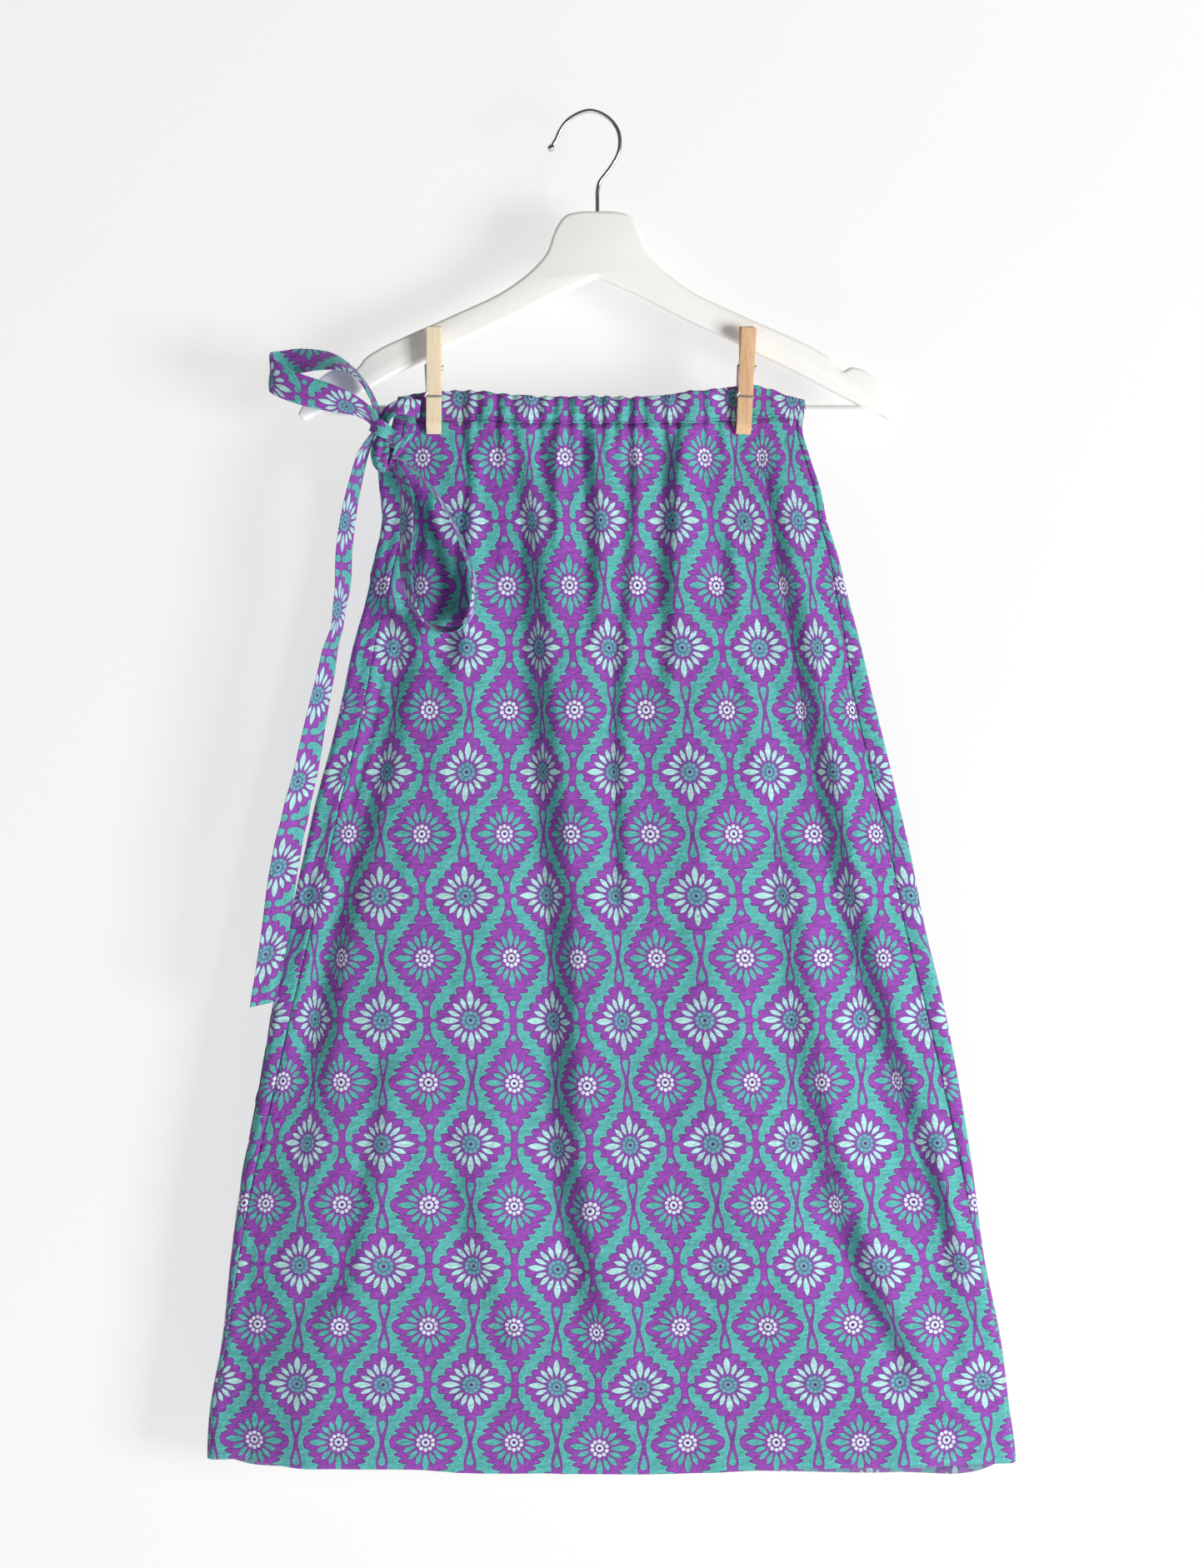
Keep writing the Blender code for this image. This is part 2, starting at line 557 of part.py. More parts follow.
def closed_mesh(name, curve, material, collection):
    """The curve as a mesh whose loose caps are welded."""
    guide = bpy.data.objects.new(name + "_curve", curve)
    collection.objects.link(guide)
    evaluated = guide.evaluated_get(bpy.context.evaluated_depsgraph_get())
    mesh = bpy.data.meshes.new_from_object(evaluated)
    bpy.data.objects.remove(guide)
    shape = bmesh.new()
    shape.from_mesh(mesh)
    bmesh.ops.remove_doubles(shape, verts=shape.verts, dist=WELD)
    bmesh.ops.recalc_face_normals(shape, faces=shape.faces)
    shape.to_mesh(mesh)
    shape.free()
    mesh.materials.clear()
    return new_object(name, mesh, material, collection)


def wire(name, points, radius, material, collection, swell=None, resolution=2):
    """A round wire along a path; swell gives the share of the radius at each point."""
    curve = bpy.data.curves.new(name, "CURVE")
    curve.dimensions = "3D"
    curve.bevel_depth = radius * MM
    curve.bevel_resolution = resolution
    curve.use_fill_caps = True
    spline = curve.splines.new("POLY")
    spline.points.add(len(points) - 1)
    for number, (point, place) in enumerate(zip(spline.points, points)):
        point.co = (*(value * MM for value in place), 1.0)
        point.radius = 1.0 if swell is None else swell[number]
    return closed_mesh(name, curve, material, collection)


def bore(target, cutter):
    """Cut a round hole for a piece that is set into the wood."""
    cut = target.modifiers.new("bore for " + cutter.name, "BOOLEAN")
    cut.operation = "DIFFERENCE"
    cut.solver = "EXACT"
    cut.object = cutter


def rod(name, radius, length):
    """A round bar along Z, as a mesh."""
    mesh = bpy.data.meshes.new(name)
    shape = bmesh.new()
    bmesh.ops.create_cone(shape, cap_ends=True, segments=ROUND_SIDES, radius1=radius * MM,
                          radius2=radius * MM, depth=length * MM)
    shape.to_mesh(mesh)
    shape.free()
    return mesh


def rod_cutter(name, radius, length, matrix, collection):
    """A round bar that only cuts its hole."""
    cutter = bpy.data.objects.new(name, rod(name, radius, length))
    collection.objects.link(cutter)
    cutter.matrix_world = matrix
    cutter.hide_render = True
    cutter.display_type = "WIRE"
    return cutter


def hanger(parts, cutters):
    """The painted board, its bar and its wire hook."""
    paint = new_material("white paint", WHITE_PAINT, 0.45)
    steel = new_material("bright steel wire", STEEL, 0.22, 1.0)
    right = np.array(HANGER_HALF)
    left = right[-2:0:-1] * (-1.0, 1.0)
    outline = [(HANGER_CENTRE + x, -drop) for x, drop in np.concatenate([right, left])]
    body = board("hanger_body", outline, HANGER_THICK, paint, parts)
    body.rotation_euler = (math.pi / 2, 0.0, 0.0)
    lying = Matrix.Rotation(math.pi / 2, 4, "Y")
    centre = Vector((HANGER_CENTRE, 0.0, -BAR_DROP)) * MM
    bar_matrix = Matrix.Translation(centre) @ lying
    bar_cutter = rod_cutter("bar_bore", BAR_RADIUS + BORE_GAP, 2 * (BAR_HALF + BORE_GAP), bar_matrix, cutters)
    stem = Vector((HANGER_CENTRE, 0.0, -(HOOK_STEM_END + BORE_GAP - HOOK_BORE / 2))) * MM
    stem_cutter = rod_cutter("hook_bore", HOOK_WIRE + BORE_GAP, HOOK_BORE, Matrix.Translation(stem), cutters)
    bore(body, bar_cutter)
    bore(body, stem_cutter)
    rounding = body.modifiers.new("rounded edges", "BEVEL")
    rounding.width = HANGER_ROUNDING * MM
    rounding.segments = 2
    rounding.limit_method = "ANGLE"
    rounding.angle_limit = math.radians(HANGER_CORNER)
    body.modifiers.move(2, 0)
    bar = new_object("hanger_bar", rod("hanger_bar", BAR_RADIUS, 2 * BAR_HALF), paint, parts)
    bar.matrix_world = bar_matrix
    path = np.array(HOOK_PATH)
    known = np.arange(len(path), dtype=float)
    at = np.linspace(0.0, known[-1], 2 * (len(path) - 1) + 1)
    across, down = flowing(known, path[:, 0], at), flowing(known, path[:, 1], at)
    points = [(x, 0.0, -drop) for x, drop in zip(across, down)]
    swell = [1.0 + (HOOK_BALL - 1.0) * max(0.0, 1 - abs(number - 1) / HOOK_BALL_POINTS)
             for number in range(len(points))]
    wire("hanger_hook", points, HOOK_WIRE, steel, parts, swell)


def leg_outline():
    """One leg of a peg seen from its side: x is away from the other leg, y is up the leg."""
    points = [(PEG_LEG_GAP, -PEG_JAW), (PEG_JAW_TIP, -PEG_JAW), (PEG_THICK, -PEG_JAW + PEG_JAW_BEVEL)]
    points.append((PEG_THICK, 0.0))
    points.append((PEG_THICK + PEG_HANDLE_FLARE, PEG_HANDLE))
    points.append((PEG_HANDLE_TAPER, PEG_HANDLE))
    for step in range(PEG_NOTCH_STEPS):
        angle = math.pi / 2 - math.pi * step / (PEG_NOTCH_STEPS - 1)
        height = PEG_NOTCH * math.sin(angle)
        hollow = max(PEG_NOTCH * math.cos(angle), PEG_OPEN_SLOPE * height)
        points.append((PEG_LEG_GAP + hollow, height))
    return points


def leg_matrix(x, drop, depth, lean, tilt, facing):
    """Place a leg: facing is -1 for the front leg and 1 for the rear leg."""
    away = Matrix(((0, 0, facing, 0), (facing, 0, 0, 0), (0, 1, 0, 0), (0, 0, 0, 1)))
    turn = Matrix.Rotation(math.radians(lean), 4, "Y") @ Matrix.Rotation(math.radians(tilt), 4, "X")
    return Matrix.Translation(Vector((x, depth, -drop)) * MM) @ turn @ away


def peg(name, x, drop, front_lean, rear_lean, parts):
    """Two wooden legs and the wire spring that closes them on the bar."""
    wood = new_material(name + " peg wood", PEG_WOOD[name], 0.6)
    steel = new_material(name + " peg spring", STEEL, 0.3, 1.0)
    depth = JAW_FACE - math.sin(math.radians(PEG_FRONT_TILT)) * PEG_JAW
    below = BAR_DROP - drop
    reach = math.hypot(depth, below)
    rear_tilt = math.degrees(math.atan2(-depth, below) + math.asin((BAR_RADIUS + BAR_ROOM) / reach))
    front = leg_matrix(x, drop, depth, front_lean, PEG_FRONT_TILT, -1)
    rear = leg_matrix(x, drop, depth, rear_lean, rear_tilt, 1)
    for side, matrix in (("front", front), ("rear", rear)):
        leg = board("peg_" + name + "_" + side, leg_outline(), PEG_WIDTH, wood, parts)
        leg.matrix_world = matrix
    points = spring_path(front, rear, Matrix.Translation(Vector((x, depth, -drop)) * MM))
    wire("peg_" + name + "_spring", points, SPRING_WIRE, steel, parts, None, 1)


def spring_path(front, rear, pivot):
    """Points of the spring's wire: across the front leg, round the coil, across the rear leg."""
    side = PEG_WIDTH / 2 + SPRING_WIRE + SPRING_SIDE_ROOM
    face = PEG_THICK + SPRING_WIRE + SPRING_FACE_ROOM
    bend = Vector((face - SPRING_BEND, -SPRING_GRIP + SPRING_BEND, -side)) * MM
    points = [front @ (Vector((face, -SPRING_GRIP, z)) * MM) for z in (side, -side)]
    points.append(front @ bend)
    for step in range(SPRING_TURNS * SPRING_STEPS + 1):
        angle = math.radians(SPRING_START) + 2 * math.pi * step / SPRING_STEPS
        place = side - 2 * side * step / (SPRING_TURNS * SPRING_STEPS)
        lift = Vector((place, SPRING_COIL * math.cos(angle), SPRING_COIL * math.sin(angle))) * MM
        points.append(pivot @ lift)
    points.append(rear @ bend)
    points += [rear @ (Vector((face, -SPRING_GRIP, z)) * MM) for z in (-side, side)]
    return [point / MM for point in points]


def skirt(parts):
    """Front and back panels, and the waistband in two halves."""
    print_cloth = new_material("printed cloth", PURPLE, 0.75)
    front_across = spread(FRONT_COLUMNS, FRONT_SPREAD)
    back_across = spread(BACK_COLUMNS, BACK_SPREAD)
    half = SEAM_GAP / 2
    skirt_down = row_steps(SKIRT_ROWS, ROW_WIDENING)
    band_down = row_steps(BAND_ROWS, 1.0)
    cloth_panel("skirt_front", "front", edge("seam", half), edge("front_hem"), front_across,
                skirt_down, CLOTH, print_cloth, parts)
    cloth_panel("skirt_back", "back", edge("seam", half), edge("back_hem"), back_across,
                skirt_down, CLOTH, print_cloth, parts)
    cloth_panel("waistband_front", "front", edge("front_top"), edge("seam", -half), front_across,
                band_down, BAND_CLOTH, print_cloth, parts)
    cloth_panel("waistband_back", "back", edge("back_top"), edge("seam", -half), back_across,
                band_down, BAND_CLOTH, print_cloth, parts)
    for name, rows in TIE_STRETCHES.items():
        tie_stretch(name, rows, print_cloth, parts)
    tie_knot("tie_knot", print_cloth, parts)


def main():
    for old in list(bpy.data.objects):
        bpy.data.objects.remove(old)
    parts = bpy.data.collections.new("longyi sarong on a hanger")
    cutters = bpy.data.collections.new("cutters")
    bpy.context.scene.collection.children.link(parts)
    bpy.context.scene.collection.children.link(cutters)
    skirt(parts)
    hanger(parts, cutters)
    for row in PEGS:
        peg(*row, parts)


main()
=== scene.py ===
# %% [markdown]
# # A printed skirt with a side tie, on a clothes hanger
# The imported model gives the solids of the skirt, its tie, the hanger and two pegs. This
# lesson dresses them: every solid gets a finer surface of the same form, and a finish
# worked out by nodes. All lengths in the tables are in millimetres, as in the solids.

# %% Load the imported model
import math

import bmesh
import bpy
import numpy as np
from mathutils import Matrix, Vector


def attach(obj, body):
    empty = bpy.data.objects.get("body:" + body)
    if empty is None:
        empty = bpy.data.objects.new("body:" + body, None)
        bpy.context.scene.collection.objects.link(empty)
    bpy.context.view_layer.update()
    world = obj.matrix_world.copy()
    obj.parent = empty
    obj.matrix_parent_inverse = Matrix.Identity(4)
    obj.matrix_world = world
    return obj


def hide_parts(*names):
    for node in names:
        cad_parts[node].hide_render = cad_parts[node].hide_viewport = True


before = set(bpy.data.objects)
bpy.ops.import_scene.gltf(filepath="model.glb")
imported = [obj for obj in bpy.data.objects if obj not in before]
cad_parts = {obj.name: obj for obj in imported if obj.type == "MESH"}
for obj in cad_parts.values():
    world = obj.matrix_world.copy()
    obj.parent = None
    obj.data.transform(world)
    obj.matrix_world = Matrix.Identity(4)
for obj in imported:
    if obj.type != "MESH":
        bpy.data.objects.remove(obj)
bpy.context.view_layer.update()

MM = 0.001

# %% [markdown]
# ## The camera
# A photographer would stand back and use a long lens, so that the skirt keeps its cut.
# The lens is worked out from the height of the view at the skirt's own plane.

# %% Place the camera
VIEW_CENTRE = (0.0087, -0.4838)     # x and z that the camera looks at
VIEW_DISTANCE = 2.2
VIEW_HEIGHT = 1.1303                # height of the picture at the skirt
SENSOR = 36.0
camera_data = bpy.data.cameras.new("camera")
camera_data.sensor_width = SENSOR
camera_data.lens = SENSOR * VIEW_DISTANCE / VIEW_HEIGHT
camera = bpy.data.objects.new("camera", camera_data)
camera.location = (VIEW_CENTRE[0], -VIEW_DISTANCE, VIEW_CENTRE[1])
camera.rotation_euler = (math.pi / 2, 0.0, 0.0)
bpy.context.scene.collection.objects.link(camera)
bpy.context.scene.camera = camera
print("lens:", round(camera_data.lens, 1), "mm")

# %% [markdown]
# ## The form of the skirt
# The real skirt is two panels cut wider at the hem, gathered on elastic at the waist. The
# solids describe it by a table of sections and a table of edges, so the same tables are
# repeated here. That keeps the fine cloth on its solid, with no fitting.

# %% Tables of the skirt's form
SECTION_NAMES = "drop left right middle front back fold left_seam right_seam"
SECTIONS = (
    (196, -138, 150, -5.7, -15, -4.1, 1.6, 6, 5),
    (212, -139, 155, -5.7, -15.8, -4.1, 1.6, 7, 5),
    (226.5, -142.9, 152.6, -5.7, -16.2, -4.1, 1.6, 10, 5),
    (248, -152, 158, -5.6, -16.6, -3, 2.2, 16, 5.5),
    (272, -151.4, 165.8, -5.6, -17, -1, 3, 18.5, 6.5),
    (294, -149.5, 170.3, -5.5, -17.4, 0.5, 3.6, 19, 7.5),
    (319, -154.4, 178.2, -5.4, -17.9, 2, 4.2, 17.5, 9),
    (347, -159.8, 185, -5.3, -18.4, 3.5, 4.8, 17, 11),
    (382, -169.7, 194.3, -5.2, -19, 5, 5.2, 18.5, 14),
    (417, -177.2, 202.4, -5, -19.5, 6.2, 5.6, 20, 17),
    (454, -185.6, 211.7, -5, -20, 7.4, 6, 20.5, 18.5),
    (492, -196.1, 220.7, -5, -20.5, 8.4, 6.2, 21.5, 18.5),
    (537, -206.3, 231.2, -4.9, -21, 9.2, 6.5, 22, 18.5),
    (585, -216.8, 240.5, -4.8, -21.5, 10, 6.7, 21, 18.5),
    (644, -228.2, 254.8, -4.7, -22, 11, 6.9, 18.5, 18),
    (704, -238.4, 266.1, -4.6, -23, 11.8, 7, 15.5, 15.5),
    (765, -250.1, 275.7, -4.5, -23.5, 12.5, 7, 13, 12),
    (824, -258.3, 283.5, -4.5, -24, 13.2, 7, 10, 8.5),
    (886, -264.9, 296.1, -4.5, -25, 14, 7, 7, 5.5),
    (934, -273.6, 302.1, -4.5, -25.5, 14.5, 7, 5, 4.5),
    (964, -275.4, 306.3, -4.5, -26, 15, 7, 4.5, 4),
    (990, -274.5, 306.9, -4.5, -26, 15, 7, 4.5, 4),
)
EDGE_NAMES = "x front_top back_top seam front_hem back_hem"
EDGES = (
    (-290, 206, 206, 223, 969, 969),
    (-262, 206, 206, 223, 968, 969.5),
    (-246, 206, 206, 223, 967.5, 974.5),
    (-232, 206, 206, 223, 968.8, 976.8),
    (-214, 206, 206, 223, 971.4, 978),
    (-180, 206, 206, 223, 971.9, 978.2),
    (-138, 206, 206, 223, 972.2, 978.5),
    (-121, 202.4, 202.2, 223, 972.4, 979),
    (-97, 200.9, 201, 223.1, 974.4, 980.5),
    (-41, 205.5, 205, 225.5, 975, 981),
    (0, 205.5, 205, 226.1, 975.5, 981),
    (43, 205.5, 205, 226.1, 975.5, 981),
    (82, 200.9, 201.2, 225, 974.5, 981.5),
    (121, 197.6, 198.6, 221, 973, 982),
    (151, 207, 207, 221.5, 972, 982.5),
    (220, 209, 209, 222, 971, 983),
    (284, 209, 209, 222, 971, 978),
    (298, 209, 209, 222, 971, 972),
    (320, 209, 209, 222, 971, 971),
)
CLOTH = 1.2
INSIDE_GAP = 0.6
SEAM_GAP = 0.3
SIDE_RUN = 75.0             # the faces swell to their full depth over this width
SEAM_WANDER = 0.7
SEAM_EASE = 16.0            # the relief fades out this near a side seam
MIDDLE_DROP = 500.0         # where a panel's first guess of its edges is read


def unit(vectors):
    """Vectors scaled to a length of one."""
    return vectors / np.linalg.norm(vectors, axis=-1, keepdims=True)


def travelled_along(path):
    """The distance travelled along a path at each of its points."""
    return np.concatenate([[0.0], np.cumsum(np.linalg.norm(np.diff(path, axis=0), axis=-1))])


def columns(names, rows):
    """A table as one array for each named column."""
    return dict(zip(names.split(), np.array(rows, dtype=float).T))


SECTION = columns(SECTION_NAMES, SECTIONS)
EDGE = columns(EDGE_NAMES, EDGES)
print("sections:", len(SECTIONS), "edge rows:", len(EDGES))


# %% [markdown]
# ## Folds and gathers
# Long soft folds hang from the gathers. A fold is a valley along a path of five places at
# even heights: depth times a bell curve across it, faded at both ends. Gathers are the same,
# but narrow and short. The first rows are the solids' own; the later ones are finer creases.

# %% Tables of folds and gathers
FRONT_FOLDS = (         # top foot x0 x1 x2 x3 x4 half_width depth
    (222, 934, -49, -37.5, -22, -16.5, 15, 12, 10),
    (230, 900, 117, 150, 184, 232.5, 281, 12, 11),
    (495, 965, 134, 147.5, 164.5, 204.2, 282, 11, 8.5),
    (226, 610, 31, 27.5, 20.5, 21, 23.5, 4.5, 4.5),
    (243, 760, -121.9, -127.9, -153.8, -185, -198.2, 8, 5),
    (670, 880, -146, -152, -159, -172.4, -191, 8, 4),
    (718, 904, -96.1, -92.5, -84.1, -69.1, -51.7, 8, 3),
    (230, 350, 3.6, 4, 4.5, 5, 6, 7, 3),
    (230, 370, 60, 57, 53.5, 52, 51, 7, 3.5),
)
FRONT_CREASES = (
    (240, 934, -48, -36.5, -21, -15.5, 16, 7, 2.4),
    (240, 900, 119, 152, 186, 234, 281, 7, 3.2),
    (300, 650, -142, -147, -164, -194, -219, 4, 5),
    (790, 972, 184, 197, 215, 243, 292, 6.5, 4.2),
    (220, 420, -92, -92, -93, -95, -98, 6, 5),
    (220, 345, -70, -69, -68, -68, -67, 4, 4.2),
    (220, 440, 60, 58, 56, 55, 54, 5.5, 4.6),
    (220, 390, -1, 0, 1, 2, 2, 5, 4.6),
    (220, 370, 92, 94, 97, 99, 100, 5, 4.4),
    (220, 310, -28, -28, -27, -26, -25, 3.4, 3.2),
    (220, 300, 118, 118.5, 120, 122, 124, 4, 3.6),
    (226, 330, -113, -114, -116, -119, -122, 3.6, 2.6),
    (228, 420, -84, -86, -90, -96, -104, 5.5, 2.2),
    (228, 520, 88, 96, 104, 110, 118, 6, 2),
    (420, 900, 62, 70, 78, 88, 104, 12, 1.8),
    (520, 950, -70, -74, -78, -84, -92, 13, 1.6),
    (228, 330, -30, -29, -28, -28, -27, 4, 1.8),
    (640, 960, 238, 244, 252, 262, 274, 6, 2.2),
    (560, 900, -224, -230, -236, -242, -250, 5, 1.8),
)
BACK_FOLDS = (
    (236, 930, -75, -92, -118, -150, -186, 10, 7),
    (236, 860, 18, 30, 37, 48, 66, 9, 8),
    (236, 700, 96, 122, 146, 168, 182, 8, 6),
    (420, 965, -30, -26, -34, -46, -54, 10, 6),
    (560, 965, 128, 132, 144, 168, 205, 11, 6),
)
BACK_CREASES = (
    (228, 480, -110, -118, -126, -134, -140, 6, 2.4),
    (228, 560, 60, 66, 74, 82, 92, 7, 2.2),
    (600, 960, -220, -226, -232, -238, -244, 9, 2.4),
    (500, 950, 226, 236, 246, 256, 268, 8, 2.2),
)
FRONT_GATHERS = (       # x depth reach
    (-126, 1.2, 40), (-102, 1.2, 46), (-92, 1.5, 62), (-81, 1.3, 40),
    (-67, 1.7, 75), (-56, 1.2, 48), (-37, 1.6, 66), (-26, 1.2, 42),
    (-15.5, 1.7, 80), (-5, 1.2, 50), (8, 1.4, 72), (18, 1.2, 44),
    (28, 1.8, 90), (38, 1.5, 52), (52, 1.6, 84), (62, 1.2, 50),
    (81, 1.7, 60), (92, 1.3, 46), (103, 1.2, 38), (126, 1.3, 56),
    (140, 1.2, 44),
)
GATHER_HALF_WIDTH = 2.7
GATHER_DEEPER = 1.9
BACK_GATHERS = 20
BACK_GATHER_DEPTH = 1.3
BACK_GATHER_ENDS = (14.0, 12.0)     # bare cloth at the left and right end
BACK_GATHER_REACH = (55.0, 22.0)    # the mean, and how much it varies
GATHER_SLANT = 0.05
PEG_PLACES = (-111.6, 112.4)
PINCH_FLAT, PINCH_END = 8.0, 34.0
PINCH_FOOT = (240.0, 330.0)
FOLD_SHIFT = 1.05           # a fold's floor lies this many half widths left of its path
GENTLE_SIDE, STEEP_SIDE = 1.8, 0.85
CREST_PLACE, CREST_SHARE = 2.1, 0.26
CREST_BEFORE, CREST_AFTER = 0.4, 1.3
FOLD_RISE, FOLD_FALL = 0.08, 0.8
print("front folds and creases:", len(FRONT_FOLDS) + len(FRONT_CREASES))


# %% Work out a section of the skirt
def flowing(known, values, at):
    """A smooth curve through a table's values: a cubic between each two rows."""
    slope = np.gradient(values, known)
    at = np.clip(at, known[0], known[-1])
    row = np.clip(np.searchsorted(known, at) - 1, 0, len(known) - 2)
    width = known[row + 1] - known[row]
    t = (at - known[row]) / width
    start = values[row] * (1 + 2 * t) * (1 - t) ** 2 + width * slope[row] * t * (1 - t) ** 2
    end = values[row + 1] * t ** 2 * (3 - 2 * t) - width * slope[row + 1] * t ** 2 * (1 - t)
    return start + end


def section(name, drop):
    """One measure of the skirt's section at each drop."""
    return flowing(SECTION["drop"], SECTION[name], drop)


def ramp(value, low, high):
    """0 below low, 1 above high, with a smooth rise between: 3t squared less 2t cubed."""
    t = np.clip((value - low) / (high - low), 0.0, 1.0)
    return t * t * (3 - 2 * t)


def pinch(x, drop):
    """0 where a peg presses the cloth flat, 1 where the cloth is free."""
    free = np.ones_like(x)
    for place in PEG_PLACES:
        free = free * ramp(np.abs(x - place), PINCH_FLAT, PINCH_END)
    return free + (1 - free) * ramp(drop, *PINCH_FOOT)


def fold_path(row, drop):
    """A fold's place across at each drop, and its strength there from 0 to 1."""
    top, foot, *places = row[:-2]
    along = (drop - top) / (foot - top)
    centre = flowing(np.linspace(0.0, 1.0, len(places)), np.array(places), along)
    return centre, ramp(along, 0.0, FOLD_RISE) * (1 - ramp(along, FOLD_FALL, 1.0))


def fold_relief(rows, x, drop):
    """Depth of the long folds: for each a bell curve left of its path, gentle on its left, and less
    a crest right of the path, so that the cloth climbs steadily and turns over sharply."""
    total = np.zeros_like(x)
    for row in rows:
        half_width, depth = row[-2:]
        centre, strength = fold_path(row, drop)
        off = (x - centre) / half_width + FOLD_SHIFT
        valley = np.exp(-0.5 * (off / np.where(off > 0, STEEP_SIDE, GENTLE_SIDE)) ** 2)
        past = off - CREST_PLACE
        crest = CREST_SHARE * np.exp(-0.5 * (past / np.where(past > 0, CREST_AFTER, CREST_BEFORE)) ** 2)
        total += depth * strength * (valley - crest)
    return total


def back_gather_rows():
    """Gathers across the back at uneven steps, with uneven depth and reach."""
    left, right = SECTION["left"][2] + BACK_GATHER_ENDS[0], SECTION["right"][2] - BACK_GATHER_ENDS[1]
    number = np.arange(BACK_GATHERS)
    x = left + (right - left) * ((number + 0.5) / BACK_GATHERS + 0.012 * np.sin(number * 2.4))
    depth = BACK_GATHER_DEPTH * (1 + 0.25 * np.sin(number * 1.7))
    reach, uneven = BACK_GATHER_REACH
    return np.stack([x, depth, reach + uneven * np.sin(number * 2.9)], axis=-1)


BACK_GATHER_ROWS = back_gather_rows()


def gather_relief(rows, x, drop):
    """Depth of the gathers: a narrow valley at each that slants a little and fades below the band."""
    seam = flowing(EDGE["x"], EDGE["seam"], x)
    total = np.zeros_like(x)
    for place, depth, reach in rows:
        below = np.clip(drop - seam, 0.0, None)
        centre = place + below * GATHER_SLANT * math.sin(place)
        width = GATHER_HALF_WIDTH * (0.8 + 0.45 * ramp(below, 0.0, reach))
        valley = np.exp(-0.5 * ((x - centre) / width) ** 2)
        total += GATHER_DEEPER * depth * (1 - ramp(below, 0.2 * reach, reach)) * valley
    return total


# %% [markdown]
# ## The crumpled look of washed cotton
# Besides its folds the cloth is never quite flat. Low waves of many lengths and directions,
# each swelling and fading, add up to the shallow crumple that catches the light. A noise
# texture could do it, but it would vanish from the mesh.

# %% Crumple
GOLDEN_TURN = math.pi * (3 - math.sqrt(5))
CRUMPLE = 0.006             # height of each wave as a share of its length
CRUMPLE_WAVES = 18
CRUMPLE_SHORTEST, CRUMPLE_MORE = 11.0, 35.0
CRUMPLE_AT_WAIST = 0.35     # the gathered waist is pulled smoother than the cloth below
CRUMPLE_RISE = (196.0, 420.0)


def crumple(x, drop, shift):
    """Sum of slanting sine waves: lengths from 11 to 46, turned by the golden angle each time."""
    total = np.zeros_like(x)
    for number in range(CRUMPLE_WAVES):
        turn = number * GOLDEN_TURN + shift
        wave = CRUMPLE_SHORTEST + CRUMPLE_MORE * (number / (CRUMPLE_WAVES - 1)) ** 1.3
        across, down = math.cos(turn), 0.75 * math.sin(turn)
        phase = 2 * math.pi * (across * x + down * drop) / wave + 1.7 * number
        swell = 0.5 + 0.5 * np.sin(2 * math.pi * (down * x - across * drop) / (3.1 * wave) + number)
        total += CRUMPLE * wave * swell * np.sin(phase)
    return total


# %% Points of a panel
def front_length(drop):
    """Length of cloth across the front, from one side fold to the other."""
    return section("right", drop) - section("left", drop) + (math.pi - 2) * section("fold", drop)


def ring(arc, drop, relief_share):
    """Points of the outer face. arc runs from the left side fold, positive across the front and
    negative across the back; the side folds are half circles and the faces swell between them."""
    fold = section("fold", drop)
    length = front_length(drop)
    arc = np.where(arc < -length, arc + 2 * length, arc)
    arc = np.where(arc > length, arc - 2 * length, arc)
    front = arc >= 0
    along = np.abs(arc)
    quarter = math.pi / 2 * fold
    left_turn = np.clip(along / fold, 0.0, math.pi / 2)
    right_turn = np.clip((length - along) / fold, 0.0, math.pi / 2)
    flat = np.clip(along - quarter, 0.0, length - 2 * quarter)
    left = section("left", drop)
    x = left + fold * (1 - np.cos(left_turn)) + flat + fold * np.cos(right_turn)
    inset_left = x - left - fold
    inset_right = section("right", drop) - fold - x
    swell = ramp(inset_left, 0.0, SIDE_RUN) * ramp(inset_right, 0.0, SIDE_RUN)
    middle = section("middle", drop)
    turn = fold * np.sin(left_turn) * np.sin(right_turn)
    free = pinch(x, drop)
    front_swell = (middle - fold - section("front", drop)) * swell * free
    back_swell = (section("back", drop) - middle - fold) * swell
    crumpled = CRUMPLE_AT_WAIST + (1 - CRUMPLE_AT_WAIST) * ramp(drop, *CRUMPLE_RISE)
    front_relief = fold_relief(FRONT_FOLDS + FRONT_CREASES, x, drop)
    front_relief += gather_relief(FRONT_GATHERS, x, drop) * free + crumple(x, drop, 0.3) * crumpled
    back_relief = fold_relief(BACK_FOLDS + BACK_CREASES, x, drop)
    back_relief += gather_relief(BACK_GATHER_ROWS, x, drop) + crumple(x, drop, 2.1) * crumpled
    front_room = np.clip(front_swell + fold - CLOTH - INSIDE_GAP, 0.0, None)
    back_room = np.clip(back_swell + fold - CLOTH - INSIDE_GAP, 0.0, None)
    front_relief = np.minimum(front_relief * relief_share, front_room)
    back_relief = np.minimum(back_relief * relief_share, back_room)
    y = np.where(front, middle - turn - front_swell + front_relief, middle + turn + back_swell - back_relief)
    return np.stack([x, y, -drop], axis=-1)


def seam_arcs(side, drop):
    """Where a panel starts and ends round the section, half a seam gap from its neighbour."""
    left, right = section("left_seam", drop), section("right_seam", drop)
    length = front_length(drop)
    half = SEAM_GAP / 2
    if side == "front":
        return left + half, length - right - half
    return -length - right + half, left - half


